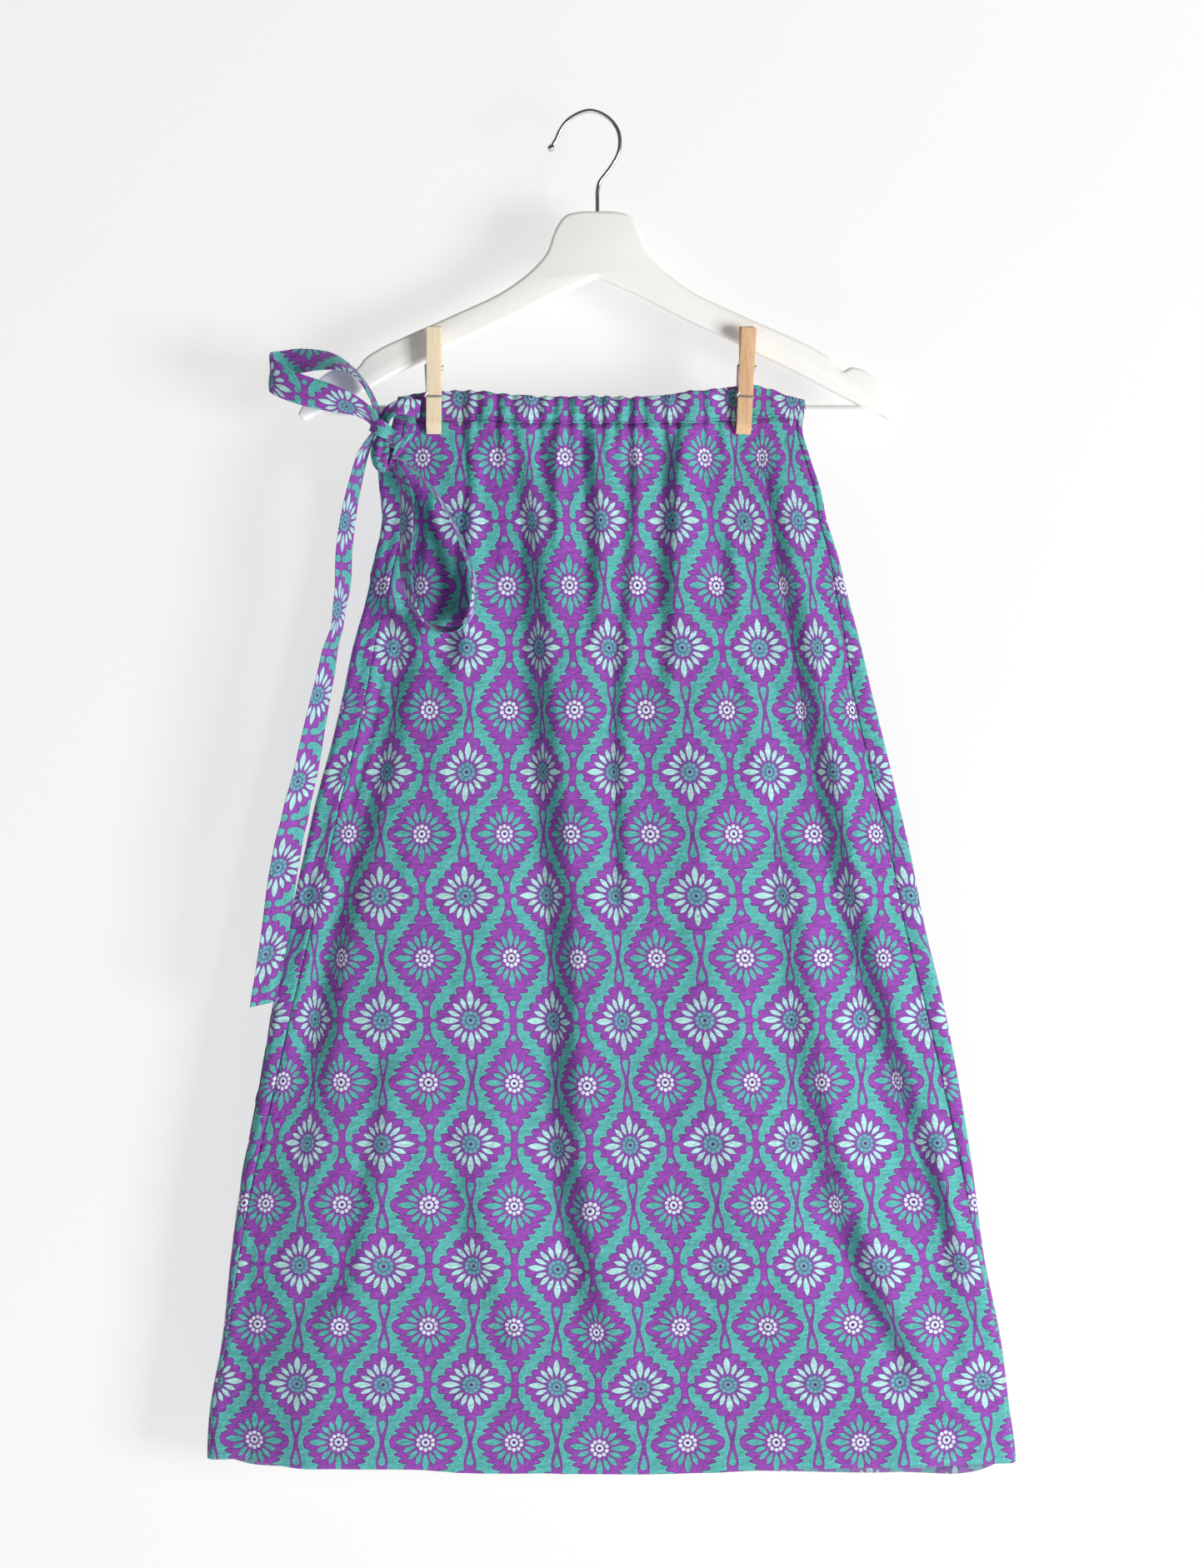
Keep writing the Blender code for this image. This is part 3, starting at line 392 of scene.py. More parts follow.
def panel(side, top, hem, across, down):
    """Points of one panel: across runs from its first seam to its last, down from top to foot."""
    middle_drop = np.full_like(across, MIDDLE_DROP)
    start, end = seam_arcs("front", middle_drop)
    place = across if side == "front" else 1 - across
    x = section("left", middle_drop) + start + place * (end - start)
    for _ in range(4):
        x = np.clip(x, EDGE["x"][0], EDGE["x"][-1])
        drop = top(x) + (hem(x) - top(x)) * down
        start, end = seam_arcs(side, drop)
        arc = start + (end - start) * across
        from_seam = np.minimum(across, 1 - across) * (end - start)
        points = ring(arc, drop, ramp(from_seam, 0.0, SEAM_EASE))
        x = points[..., 0]
    return points


def edge(name, offset=0.0):
    """A function that gives one edge's drop at each x. The waist seam wanders up and down a little."""
    wander = SEAM_WANDER if name == "seam" else 0.0
    return lambda x: (flowing(EDGE["x"], EDGE[name], x) + offset
                      + wander * np.sin(x * 0.21 + 2.0 * np.sin(x * 0.053)))


def spread(count, end_share):
    """Even steps from 0 to 1, closer together towards both ends."""
    t = np.linspace(0.0, 1.0, count + 1)
    return t - end_share * np.sin(2 * math.pi * t) / (2 * math.pi)


print("cloth across the hem:", round(float(front_length(np.array(970.0)))), "mm")

# %% [markdown]
# ## Where the print falls
# The print repeats every 62.5 mm across and 88.3 mm down. On the hanging skirt its columns
# are drawn together by the gathers and swallowed by the folds, so a table gives the place of
# each column at ten heights. The cloth's own coordinates are read back from it and stored
# as the UV map, in metres, so that the pattern follows the cloth and not the view.

# %% Cloth coordinates
REPEAT_WIDE = 62.5
REPEAT_HIGH = 88.3
FIRST_COLUMN = -3           # the column at the table's first place
COLUMN_PLACES = (           # drop, then x of twelve columns of dark flowers
    (206.5, -280, -223, -171, -119, -67, -17, 33, 80, 125, 166, 211, 263),
    (249.9, -278, -222, -171, -120, -67, -18, 33, 83, 124, 165, 210, 266),
    (342.2, -272, -216, -167, -120, -61, -14, 35, 91, 139, 179, 224, 281),
    (430.8, -270, -213, -167, -114, -59, -10, 41, 98, 150, 188, 233, 292),
    (520.7, -272, -216, -174, -120, -61, -11, 44, 103, 159, 205, 254, 314),
    (609.4, -272, -219, -177, -118, -56, -6, 48, 111, 168, 212, 263, 323),
    (697.4, -275, -220, -177, -115, -54, 0, 54, 116, 168, 220, 272, 333),
    (784.9, -287, -232, -178, -115, -54, 3, 60, 121, 174, 230, 287, 348),
    (871.8, -297, -238, -178, -115, -53, 5, 65, 127, 188, 247, 306, 367),
    (953.3, -301, -240, -179, -117, -54, 7, 70, 133, 193, 255, 317, 379),
)
ROW_DROPS = (206.5, 249.3, 341.6, 430.8, 519.5, 608.2, 696.8, 784.3, 870.6, 952.7)
ROW_NUMBERS = (-0.5, 0.0, 1.0, 2.0, 3.0, 4.0, 5.0, 6.0, 7.0, 8.0)
SAG = 4.5                   # how much lower a row hangs at the foot of the main fold
SAG_WIDTH = 26.0
SAG_RISE = (560.0, 800.0)
BACK_START = 31.0
BACK_EASE = 0.2             # cloth let out at the back's gathers, less and less down to the second drop
BACK_EASE_FALL = (230.0, 640.0)
FINE_COLUMNS = 400
FOLD_TAKE_UP = 1.1          # cloth swallowed by a fold, for each unit of its depth
FOLD_DRAW = 30.0


def draw_in(rows, x, drop):
    """Cloth drawn into each fold: a smooth step at the fold less a straight ramp round it."""
    total = np.zeros_like(x)
    for row in rows:
        half_width, depth = row[-2:]
        centre, strength = fold_path(row, drop)
        off = x - centre
        inside = np.clip(off / FOLD_DRAW, -1.0, 1.0)
        total += FOLD_TAKE_UP * depth * strength * 0.5 * (np.tanh(2 * off / half_width) - inside)
    return total


def rows_down(drop):
    """How far down the cloth a drop lies: read from the rows' table, and straight on past its ends."""
    down = REPEAT_HIGH * flowing(np.array(ROW_DROPS), np.array(ROW_NUMBERS), drop)
    return down + (drop - np.clip(drop, ROW_DROPS[0], ROW_DROPS[-1]))


def front_print(points):
    """Cloth coordinates of the front: columns read back from the table, rows sagging at the main fold."""
    x, drop = points[..., 0], -points[..., 2]
    table = np.array(COLUMN_PLACES, dtype=float)
    heights, places = table[:, 0], table[:, 1:]
    numbers = FIRST_COLUMN + np.arange(places.shape[1])
    fine = np.linspace(numbers[0], numbers[-1], FINE_COLUMNS)
    column = np.empty_like(x)
    for row in range(len(x)):
        at = np.full(1, drop[row].mean())
        here = np.array([flowing(heights, place, at)[0] for place in places.T])
        column[row] = np.interp(x[row], flowing(numbers.astype(float), here, fine), fine)
    main_x, _ = fold_path(FRONT_FOLDS[0], drop)
    sag = SAG * np.exp(-0.5 * ((x - main_x) / SAG_WIDTH) ** 2) * ramp(drop, *SAG_RISE)
    across = REPEAT_WIDE * column + draw_in(FRONT_FOLDS, x, drop)
    return np.stack([across, rows_down(drop - sag)], axis=-1) * MM


def back_print(points):
    """Cloth coordinates of the back: the length of cloth across each row, let out at the gathers."""
    x, drop = points[..., 0], -points[..., 2]
    run = np.linalg.norm(np.diff(points, axis=1), axis=-1)
    across = np.concatenate([np.zeros((len(points), 1)), np.cumsum(run, axis=1)], axis=1)
    centre = across[:, across.shape[1] // 2]
    gathered = 1 + BACK_EASE * (1 - ramp(drop, *BACK_EASE_FALL))
    across = (across - centre[:, None]) * gathered + BACK_START
    return np.stack([across + draw_in(BACK_FOLDS, x, drop), rows_down(drop)], axis=-1) * MM


print("print columns in the table:", len(COLUMN_PLACES[0]) - 1)


# %% [markdown]
# ## From a grid of points to a mesh
# Every new piece is a grid of points from two parameters. One helper turns a grid into quads,
# joins its sides where it goes all the way round, closes its ends where it is a tube, and
# stores cloth coordinates on the faces' corners.

# %% Mesh helpers
def placed_mesh(name, mesh):
    """A smooth mesh as a piece of the scene."""
    mesh.shade_smooth()
    piece = bpy.data.objects.new(name, mesh)
    bpy.context.scene.collection.objects.link(piece)
    return piece


def put_in_mesh(name, points, faces, corner_uv=None):
    """A mesh from points in metres and quads, with cloth coordinates where they are given."""
    mesh = bpy.data.meshes.new(name)
    mesh.from_pydata(points.reshape(-1, 3).tolist(), [], faces)
    if corner_uv is not None:
        layer = mesh.uv_layers.new(name="cloth")
        layer.data.foreach_set("uv", np.ascontiguousarray(corner_uv, dtype=np.float32).ravel())
    return placed_mesh(name, mesh)


def grid_quads(rows, around, closed):
    """Corner numbers of each quad of a grid, and the same on a grid with a repeated last column."""
    r = np.arange(rows - 1)[:, None]
    c = np.arange(around if closed else around - 1)[None, :]
    following = (c + 1) % around if closed else c + 1
    quads = np.stack([r * around + c, (r + 1) * around + c,
                      (r + 1) * around + following, r * around + following], axis=-1)
    wide = around + 1 if closed else around
    spots = np.stack([r * wide + c, (r + 1) * wide + c, (r + 1) * wide + c + 1, r * wide + c + 1], axis=-1)
    return quads.reshape(-1, 4), spots.reshape(-1, 4)


def open_sheet(name, points, uv):
    """An open sheet from a grid of points in millimetres."""
    quads, spots = grid_quads(points.shape[0], points.shape[1], False)
    return put_in_mesh(name, points * MM, quads.tolist(), uv.reshape(-1, 2)[spots])


def closed_tube(name, points, uv=None, capped=True):
    """A tube from a grid of points in millimetres, closed round and capped at both ends."""
    rows, around = points.shape[:2]
    quads, spots = grid_quads(rows, around, True)
    faces = quads.tolist()
    ends = [list(range(around)), list(range((rows - 1) * around, rows * around))] if capped else []
    corner_uv = None
    if uv is not None:
        flat_uv = uv.reshape(-1, 2)
        first, last = flat_uv[:around], flat_uv[(rows - 1) * (around + 1):(rows - 1) * (around + 1) + around]
        corner_uv = np.concatenate([flat_uv[spots].reshape(-1, 2)] + ([first, last] if capped else []))
    piece = put_in_mesh(name, points * MM, faces + ends, corner_uv)
    face_outwards(piece)
    return piece


def face_outwards(piece):
    """Turn all faces of a closed mesh to point outwards."""
    shape = bmesh.new()
    shape.from_mesh(piece.data)
    bmesh.ops.recalc_face_normals(shape, faces=shape.faces)
    shape.to_mesh(piece.data)
    shape.free()


def give_wall(piece, thickness):
    """Give a sheet its thickness on its inner side; the inner face takes the second material."""
    wall = piece.modifiers.new("cloth thickness", "SOLIDIFY")
    wall.thickness = thickness * MM
    wall.offset = -1.0
    wall.use_even_offset = False
    wall.material_offset = 1


def finished(piece, *materials):
    """The piece with its materials."""
    for material in materials:
        piece.data.materials.append(material)
    return piece


def joined(name, pieces):
    """Several meshes as one piece."""
    shape = bmesh.new()
    for part in pieces:
        shape.from_mesh(part.data)
        bpy.data.objects.remove(part)
    mesh = bpy.data.meshes.new(name)
    shape.to_mesh(mesh)
    shape.free()
    return placed_mesh(name, mesh)


# %% [markdown]
# ## Numbers as nodes
# The print is drawn by arithmetic on the cloth's coordinates. A small class makes each sum
# a Math node, so that the drawing of a leaf or petal reads as a formula.

# %% A number in a node group
class Reading:
    """A number that varies over a surface; each operation on it adds one Math node."""

    def __init__(self, tree, socket):
        self.tree, self.socket = tree, socket

    def math(self, operation, *others, clamp=False):
        node = self.tree.nodes.new("ShaderNodeMath")
        node.operation = operation
        node.use_clamp = clamp
        for socket, value in zip(node.inputs, (self,) + others):
            plug(self.tree, value, socket)
        return Reading(self.tree, node.outputs[0])

    def __add__(self, other):
        return self.math("ADD", other)

    def __sub__(self, other):
        return self.math("SUBTRACT", other)

    def __mul__(self, other):
        return self.math("MULTIPLY", other)

    def __abs__(self):
        return self.math("ABSOLUTE")

    def least(self, other):
        return self.math("MINIMUM", other)

    def most(self, other):
        return self.math("MAXIMUM", other)

    def wrapped(self, width):
        """The distance from the nearest whole repeat, from minus half to half the width."""
        return self.math("WRAP", width / 2, -width / 2)

    def towards(self, other, share):
        return self + (other - self) * share


def plug(tree, value, socket):
    """Join a reading, a socket or a plain value to an input."""
    if isinstance(value, Reading):
        tree.links.new(value.socket, socket)
    elif isinstance(value, bpy.types.NodeSocket):
        tree.links.new(value, socket)
    else:
        socket.default_value = value


def length_of(across, down):
    """Distance from the zero point of two readings."""
    return (across * across + down * down).math("SQRT")


def new_group(name, inputs, outputs):
    """A shader node group with named sockets: (name, kind, value) and (name, kind)."""
    group = bpy.data.node_groups.new(name, "ShaderNodeTree")
    for title, kind, value in inputs:
        socket = group.interface.new_socket(title, in_out="INPUT", socket_type="NodeSocket" + kind)
        if value is not None:
            socket.default_value = value
    for title, kind in outputs:
        group.interface.new_socket(title, in_out="OUTPUT", socket_type="NodeSocket" + kind)
    entry = group.nodes.new("NodeGroupInput")
    leave = group.nodes.new("NodeGroupOutput")
    return group, entry.outputs, leave.inputs


def mixed(tree, share, first, second):
    """A colour between two others by a share from 0 to 1."""
    node = tree.nodes.new("ShaderNodeMix")
    node.data_type = "RGBA"
    plug(tree, share, node.inputs["Factor"])
    plug(tree, first, node.inputs[6])
    plug(tree, second, node.inputs[7])
    return node.outputs[2]


def noise(tree, vector, scale, detail=2.0, roughness=0.5):
    """A noise reading about a half, at a scale in waves to the metre."""
    node = tree.nodes.new("ShaderNodeTexNoise")
    plug(tree, vector, node.inputs["Vector"])
    node.inputs["Scale"].default_value = scale
    node.inputs["Detail"].default_value = detail
    node.inputs["Roughness"].default_value = roughness
    return Reading(tree, node.outputs["Fac"])


def stretched(tree, vector, scale):
    """A vector multiplied along each of its axes."""
    node = tree.nodes.new("ShaderNodeVectorMath")
    node.operation = "MULTIPLY"
    plug(tree, vector, node.inputs[0])
    node.inputs[1].default_value = scale
    return node.outputs[0]


def linear(red, green, blue):
    """A colour given as a screen would show it, as the light it stands for."""
    share = np.array([red, green, blue]) / 255.0
    light = np.where(share <= 0.04045, share / 12.92, ((share + 0.055) / 1.055) ** 2.4)
    return (*light.tolist(), 1.0)


# %% [markdown]
# ## The block print
# The print is a common ogee lattice: serrated leaves frame a sixteen-petalled daisy, dark on
# every second place and light between. Such a repeat could be an image, but a formula stays
# sharp at any size. One quarter of one repeat is enough, because it is mirrored both ways.

# %% Edges of the leaf in one quarter of the repeat
INNER_TEETH = 5
INNER_NOTCH_Y = (4.4, 29.4)
INNER_NOTCHES = ((0.0, 26.3), (2.0, 25.9), (4.4, 24.6), (9.4, 22.3), (15.0, 18.9), (20.4, 14.4), (24.8, 10.8),
                 (29.4, 6.2), (32.0, 4.2), (35.0, 3.0), (40.0, 2.5), (44.15, 2.6))
OUTER_TEETH = 4
OUTER_FIRST_TIP = (27.3, 20.0)
OUTER_STEP = (-4.75, 5.57)
OUTER_NOTCH_DEPTH = 4.4
TEETH_REACH = (3.9, 5.3)
TEETH_LEAD = (0.5, 0.16)    # how soon after its notch a tooth's tip comes
TOOTH_HOLLOW = 1.5          # how far the long side of a tooth is hollowed


def hollowed(start, end, into):
    """Points of the long sides of teeth: straight runs from start to end, hollowed by a half sine."""
    share = np.array([0.3, 0.6, 0.82])[:, None]
    y = start[:, 0] + (end[:, 0] - start[:, 0]) * share
    x = start[:, 1] + (end[:, 1] - start[:, 1]) * share + into * TOOTH_HOLLOW * np.sin(math.pi * share)
    return np.stack([y.ravel(), x.ravel()], 1)


def inner_edge():
    """The edge that faces the dark flower: a smooth line of notches with a tip between each two."""
    line = np.array(INNER_NOTCHES)
    low, high = INNER_NOTCH_Y
    notch_y = np.linspace(low, high, INNER_TEETH + 1)
    notch_x = np.interp(notch_y, line[:, 0], line[:, 1])
    tip_y = notch_y[:-1] + np.diff(notch_y) * np.linspace(*TEETH_LEAD, INNER_TEETH)
    tip_x = np.interp(tip_y, line[:, 0], line[:, 1]) - np.linspace(*TEETH_REACH, INNER_TEETH)
    outside = line[(line[:, 0] < low) | (line[:, 0] > high)]
    notches, tips = np.stack([notch_y, notch_x], 1), np.stack([tip_y, tip_x], 1)
    rows = np.concatenate([outside, notches, tips, hollowed(notches[1:], tips, 1.0)])
    return rows[np.argsort(rows[:, 0])]


def outer_edge():
    """The edge that faces the light flower: steps that run down to a tip and cut back to a notch."""
    number = np.arange(OUTER_TEETH)
    tip_x = OUTER_FIRST_TIP[0] + OUTER_STEP[0] * number
    tip_y = OUTER_FIRST_TIP[1] + OUTER_STEP[1] * number
    tips = np.stack([tip_y, tip_x], 1)
    notches = np.stack([tip_y + 0.25, tip_x - OUTER_NOTCH_DEPTH], 1)
    waist = np.array([(0.0, 29.7), (5.0, 28.9), (10.0, 27.5), (15.0, 26.8)])
    curl = np.array([(38.6, 6.6), (REPEAT_HIGH / 2, 6.4)])
    rows = np.concatenate([waist, tips, notches, hollowed(notches[:-1], tips[1:], -1.0), curl])
    return rows[np.argsort(rows[:, 0])]


print("inner leaf edge:", len(inner_edge()), "points; outer:", len(outer_edge()), "points")

# %% The print as a node group
PURPLE = linear(142, 66, 170)
DEEP_PURPLE = linear(66, 46, 106)
TEAL = linear(84, 172, 170)
MINT = linear(172, 216, 218)
SLATE = linear(70, 118, 142)
PALE_SLATE = linear(112, 158, 178)
LILAC_WHITE = linear(212, 218, 238)
PETALS = 16
SEEDS = 10
SOFT_EDGE = 0.5             # the ink bleeds over this width
LINE = 0.4                  # width of the dark line round each motif
RIM = 0.45
RIM_SHARE = 0.14            # how much paler a motif's rim is
LEAF_TOP = 40.2             # the leaf ends here, below the curl
PETAL_START = 7.5
PETAL_REACH = (9.9, 4.3)    # a petal's length, and what each second pair of petals has more
PETAL_WIDE = (1.88, 0.6)
SEED_RING, SEED_RADIUS = 5.4, 1.42
SLATE_RADIUS, HEART_RADIUS, PUPIL_RADIUS = 6.6, 2.9, 1.25
CURL = (5.2, 40.4, 2.65)    # place across and down, and radius
DOT = (12.2, 2.1)           # place above the light flower's row, and radius
DROP_TOP, DROP_LONG, DROP_RADIUS = 5.4, 8.8, 2.65


def read_curve(tree, reading, rows, high_in, high_out):
    """A reading passed through a curve of straight stretches."""
    node = tree.nodes.new("ShaderNodeFloatCurve")
    curve = node.mapping.curves[0]
    spots = rows / (high_in, high_out)
    curve.points[0].location = spots[0]
    curve.points[-1].location = spots[-1]
    for spot in spots[1:-1]:
        curve.points.new(*spot)
    for point in curve.points:
        point.handle_type = "VECTOR"
    node.mapping.update()
    plug(tree, reading * (1 / high_in), node.inputs["Value"])
    return Reading(tree, node.outputs[0]) * high_out


def inked(distance, grow=0.0):
    """1 inside a shape and 0 outside it, where distance is below 0 inside."""
    return distance.math("MULTIPLY_ADD", -1 / SOFT_EDGE, 0.5 + grow / SOFT_EDGE, clamp=True)


def leaf_distance(tree, across, down, shift):
    """Distance past the leaf's nearer edge, read a little above or below: below 0 inside."""
    at = (down + shift).math("MAXIMUM", 0.0)
    inner = read_curve(tree, at, inner_edge(), REPEAT_HIGH / 2, REPEAT_WIDE / 2)
    outer = read_curve(tree, at, outer_edge(), REPEAT_HIGH / 2, REPEAT_WIDE / 2)
    return (inner - across).most(across - outer).most(at - LEAF_TOP)


def block_print():
    """The printed colour from the cloth's coordinates in metres."""
    group, given, result = new_group(
        "block print", [("Cloth", "Vector", None)], [("Color", "Color")])
    apart = group.nodes.new("ShaderNodeSeparateXYZ")
    group.links.new(given["Cloth"], apart.inputs[0])
    across = Reading(group, apart.outputs[0]) * (1 / MM)
    down = Reading(group, apart.outputs[1]) * (1 / MM)
    across, down = abs(across.wrapped(REPEAT_WIDE)), abs(down.wrapped(REPEAT_HIGH))
    far_across = across * -1.0 + REPEAT_WIDE / 2
    far_down = down * -1.0 + REPEAT_HIGH / 2
    light = length_of(far_across, far_down).math("LESS_THAN", length_of(across, down))
    flower_x, flower_y = across.towards(far_across, light), down.towards(far_down, light)
    radius = length_of(flower_x, flower_y)
    angle = flower_y.math("ARCTAN2", flower_x)
    fan = angle.wrapped(2 * math.pi / PETALS)
    along, aside = radius * fan.math("COSINE"), abs(radius * fan.math("SINE"))
    main = (angle * 4.0).math("COSINE").math("GREATER_THAN", 0.707)
    reach = main * PETAL_REACH[1] + PETAL_REACH[0]
    wide = main * PETAL_WIDE[1] + PETAL_WIDE[0]
    share = (along - PETAL_START).math("DIVIDE", reach, clamp=True)
    shape = (share.math("POWER", 1.15) * math.pi).math("SINE").math("POWER", 0.8)
    petal = (aside - wide * shape + 0.16).most(along - reach - PETAL_START)
    petal = petal.most(along * -1.0 + PETAL_START)
    turn = (angle - math.pi / SEEDS).wrapped(2 * math.pi / SEEDS)
    seed = length_of(radius * turn.math("COSINE") - SEED_RING, radius * turn.math("SINE")) - SEED_RADIUS
    heart = radius - HEART_RADIUS
    pupil = radius - PUPIL_RADIUS
    middle = leaf_distance(group, across, down, 0.0)
    above = leaf_distance(group, across, down, -RIM)
    below = leaf_distance(group, across, down, RIM)
    curl = length_of(across - CURL[0], down - CURL[1]) - CURL[2]
    dot = length_of(across, down - (REPEAT_HIGH / 2 - DOT[0])) - DOT[1]
    drop_share = (down - DROP_TOP).math("MULTIPLY", 1 / DROP_LONG, clamp=True)
    teardrop = length_of(far_across, (down - (DROP_TOP + DROP_LONG)).most(0.0))
    teardrop = teardrop - drop_share.math("POWER", 0.85) * DROP_RADIUS + 0.15
    fixed = curl.least(dot).least(teardrop)
    leaf = middle.least(fixed)
    leaf_grown = middle.least(above).least(below).least(fixed)
    leaf_shrunk = middle.most(above).most(below).least(fixed)
    centre = seed.least(heart)
    motif = leaf_grown.least(petal).least(centre)
    slate_ground = inked(radius - SLATE_RADIUS) * light
    petal_light = inked(petal) * light
    fill = mixed(group, petal_light, TEAL, MINT)
    rim = mixed(group, RIM_SHARE, fill, LILAC_WHITE)
    colour = mixed(group, inked(motif, LINE), PURPLE, DEEP_PURPLE)
    colour = mixed(group, slate_ground, colour, SLATE)
    colour = mixed(group, inked(leaf.least(petal)), colour, rim)
    colour = mixed(group, inked(leaf_shrunk.least(petal), -RIM), colour, fill)
    seed_colour = mixed(group, light, LILAC_WHITE, PALE_SLATE)
    colour = mixed(group, inked(centre), colour, seed_colour)
    colour = mixed(group, inked(pupil), colour, DEEP_PURPLE)
    group.links.new(colour, result["Color"])
    print("print nodes:", len(group.nodes))
    return group


BLOCK_PRINT = block_print()


# %% [markdown]
# ## The weave
# The cotton has a fine slub: short thick places in the weft, so that it looks brushed
# sideways. It changes both the shade and the height of the surface, at several sizes.

# %% The weave as a node group
WEAVE_NOISES = (            # waves to the metre across and down, then detail and roughness
    ((300, 1500, 1), 2.0, 0.5),
    ((70, 420, 1), 2.0, 0.6),
    ((1900, 260, 1), 1.0, 0.5),
    ((75, 120, 1), 3.0, 0.6),
    ((210, 340, 1), 2.0, 0.5),
)
BUMP_REACH = 0.0013


def slub_weave():
    """Shade and height of a slubbed plain weave, from the cloth's coordinates in metres."""
    group, given, result = new_group(
        "slub weave", [("Cloth", "Vector", None)], [("Shade", "Float"), ("Height", "Float")])
    fine, slub, warp, crinkle, ruck = [
        noise(group, stretched(group, given["Cloth"], scale), 1.0, detail, roughness)
        for scale, detail, roughness in WEAVE_NOISES]
    shade = (fine * 0.5 + slub * 0.35 + warp * 0.15).math("MULTIPLY_ADD", 2.2, -0.6, clamp=True)
    height = fine * 0.15 + slub * 0.25 + warp * 0.08 + crinkle * 1.3 + ruck * 0.8
    group.links.new(shade.socket, result["Shade"])
    group.links.new(height.socket, result["Height"])
    return group


SLUB_WEAVE = slub_weave()


# %% Cloth finishes
SHADE_RANGE, SHADE_LOWEST = 0.95, 0.54


def new_material(name):
    """A new material with its node tree and its shader."""
    material = bpy.data.materials.new(name)
    material.use_nodes = True
    tree = material.node_tree
    return material, tree, tree.nodes["Principled BSDF"]


def placed(tree, group, **given):
    """A group put into a material with its inputs joined."""
    node = tree.nodes.new("ShaderNodeGroup")
    node.node_tree = group
    for title, value in given.items():
        plug(tree, value, node.inputs[title])
    return node.outputs


def raised(tree, height, strength, distance):
    """A bump from a height."""
    node = tree.nodes.new("ShaderNodeBump")
    node.inputs["Strength"].default_value = strength
    node.inputs["Distance"].default_value = distance
    plug(tree, height, node.inputs["Height"])
    return node.outputs[0]


def printed_cotton(name, wrong_side_fade_and_shade, tint_and_painted_shade):
    """The printed cloth, mixed by a share towards a plain tint. On the wrong side that tint is dark: partly
    the duller colour of the wrong side, and partly painted shade for the inside of the skirt.
    """
    material, tree, shader = new_material(name)
    cloth = tree.nodes.new("ShaderNodeUVMap")
    cloth.uv_map = "cloth"
    printed = placed(tree, BLOCK_PRINT, Cloth=cloth.outputs[0])
    weave = placed(tree, SLUB_WEAVE, Cloth=cloth.outputs[0])
    shade = Reading(tree, weave["Shade"])
    shaded = tree.nodes.new("ShaderNodeHueSaturation")
    plug(tree, mixed(tree, wrong_side_fade_and_shade, printed["Color"], tint_and_painted_shade), shaded.inputs["Color"])
    plug(tree, shade * SHADE_RANGE + SHADE_LOWEST, shaded.inputs["Value"])
    tree.links.new(shaded.outputs[0], shader.inputs["Base Color"])
    tree.links.new((shade * -0.12 + 0.82).socket, shader.inputs["Roughness"])
    tree.links.new(raised(tree, weave["Height"], strength=1.0, distance=BUMP_REACH), shader.inputs["Normal"])
    shader.inputs["Sheen Weight"].default_value = 0.18
    shader.inputs["Sheen Roughness"].default_value = 0.45
    shader.inputs["Specular IOR Level"].default_value = 0.32
    return material


COTTON = printed_cotton("printed cotton", 0.0, LILAC_WHITE)
# The wrong side's dark tint is partly its own duller colour and partly painted shade, standing for the shadow
# inside the skirt.
COTTON_WRONG_SIDE_SHADED = printed_cotton("printed cotton, wrong side with painted shade", 0.4, linear(128, 124, 156))
print("cloth finishes:", COTTON.name, "and", COTTON_WRONG_SIDE_SHADED.name)

# %% [markdown]
# ## The two panels
# Front and back panel are sheets with a hem at the foot. Each is a fine grid on its solid's
# form, then gets its thickness on the inner side, where the wrong side of the print shows,
# darkened by painted shade.

# %% Make the panels
PANEL_WALL = 1.0
FRONT_GRID = (230, 168)
BACK_GRID = (200, 150)
SEAM_DIP, SEAM_DIP_WIDTH = 0.7, 1.6
PANEL_ACROSS = 400.0        # a panel's width, near enough for the dip
END_CROWDING = 0.3          # how much closer the columns stand at a panel's ends
SEAM_TUCK = 0.35            # a panel's top reaches this far up under the casing


def sewn_edges(points, across, width):
    """Pull the cloth in a little beside its side seams, by a bell curve from each edge."""
    near = np.minimum(across, 1 - across) * width
    dip = SEAM_DIP * np.exp(-0.5 * (near / SEAM_DIP_WIDTH) ** 2)
    run_down = np.gradient(points, axis=0)
    run_across = np.gradient(points, axis=1)
    outward = unit(np.cross(run_down, run_across))
    return points - outward * dip[..., None]


def cotton_sheet(name, points, uv, wall):
    """A sheet of printed cotton with a wall, whose inner face shows the wrong side, darkened by painted
    shade.
    """
    piece = open_sheet(name, points, uv)
    finished(piece, COTTON, COTTON_WRONG_SIDE_SHADED)
    give_wall(piece, wall)
    return piece


def skirt_panel(name, side, hem, grid, printer):
    """One panel as a fine sheet: the solid's form, dipped at its seams."""
    u, v = np.meshgrid(spread(grid[0], END_CROWDING), np.linspace(0.0, 1.0, grid[1] + 1))
    points = panel(side, edge("seam", -SEAM_TUCK), edge(hem), u, v)
    points = sewn_edges(points, u, PANEL_ACROSS)
    return cotton_sheet(name, points, printer(points), PANEL_WALL)


front = skirt_panel("front_panel", "front", "front_hem", FRONT_GRID, front_print)
back = skirt_panel("back_panel", "back", "back_hem", BACK_GRID, back_print)
print("panel quads:", len(front.data.polygons), len(back.data.polygons))

# %% [markdown]
# ## The elastic casing
# The top is folded over elastic and stitched down, so it puckers. The casing is a sheet that
# bulges between its top edge and its stitching; the puckers are deeper at their middle.

# %% Make the casing
CASING_WALL = 1.2
CASING_ROWS = 22
CASING_BULGE = 1.5
BULGE_LEVEL = 0.75          # the bulge is measured from this share of its height
PUCKER = 0.45
TOP_WANDER, TOP_DIP = 0.5, 0.3


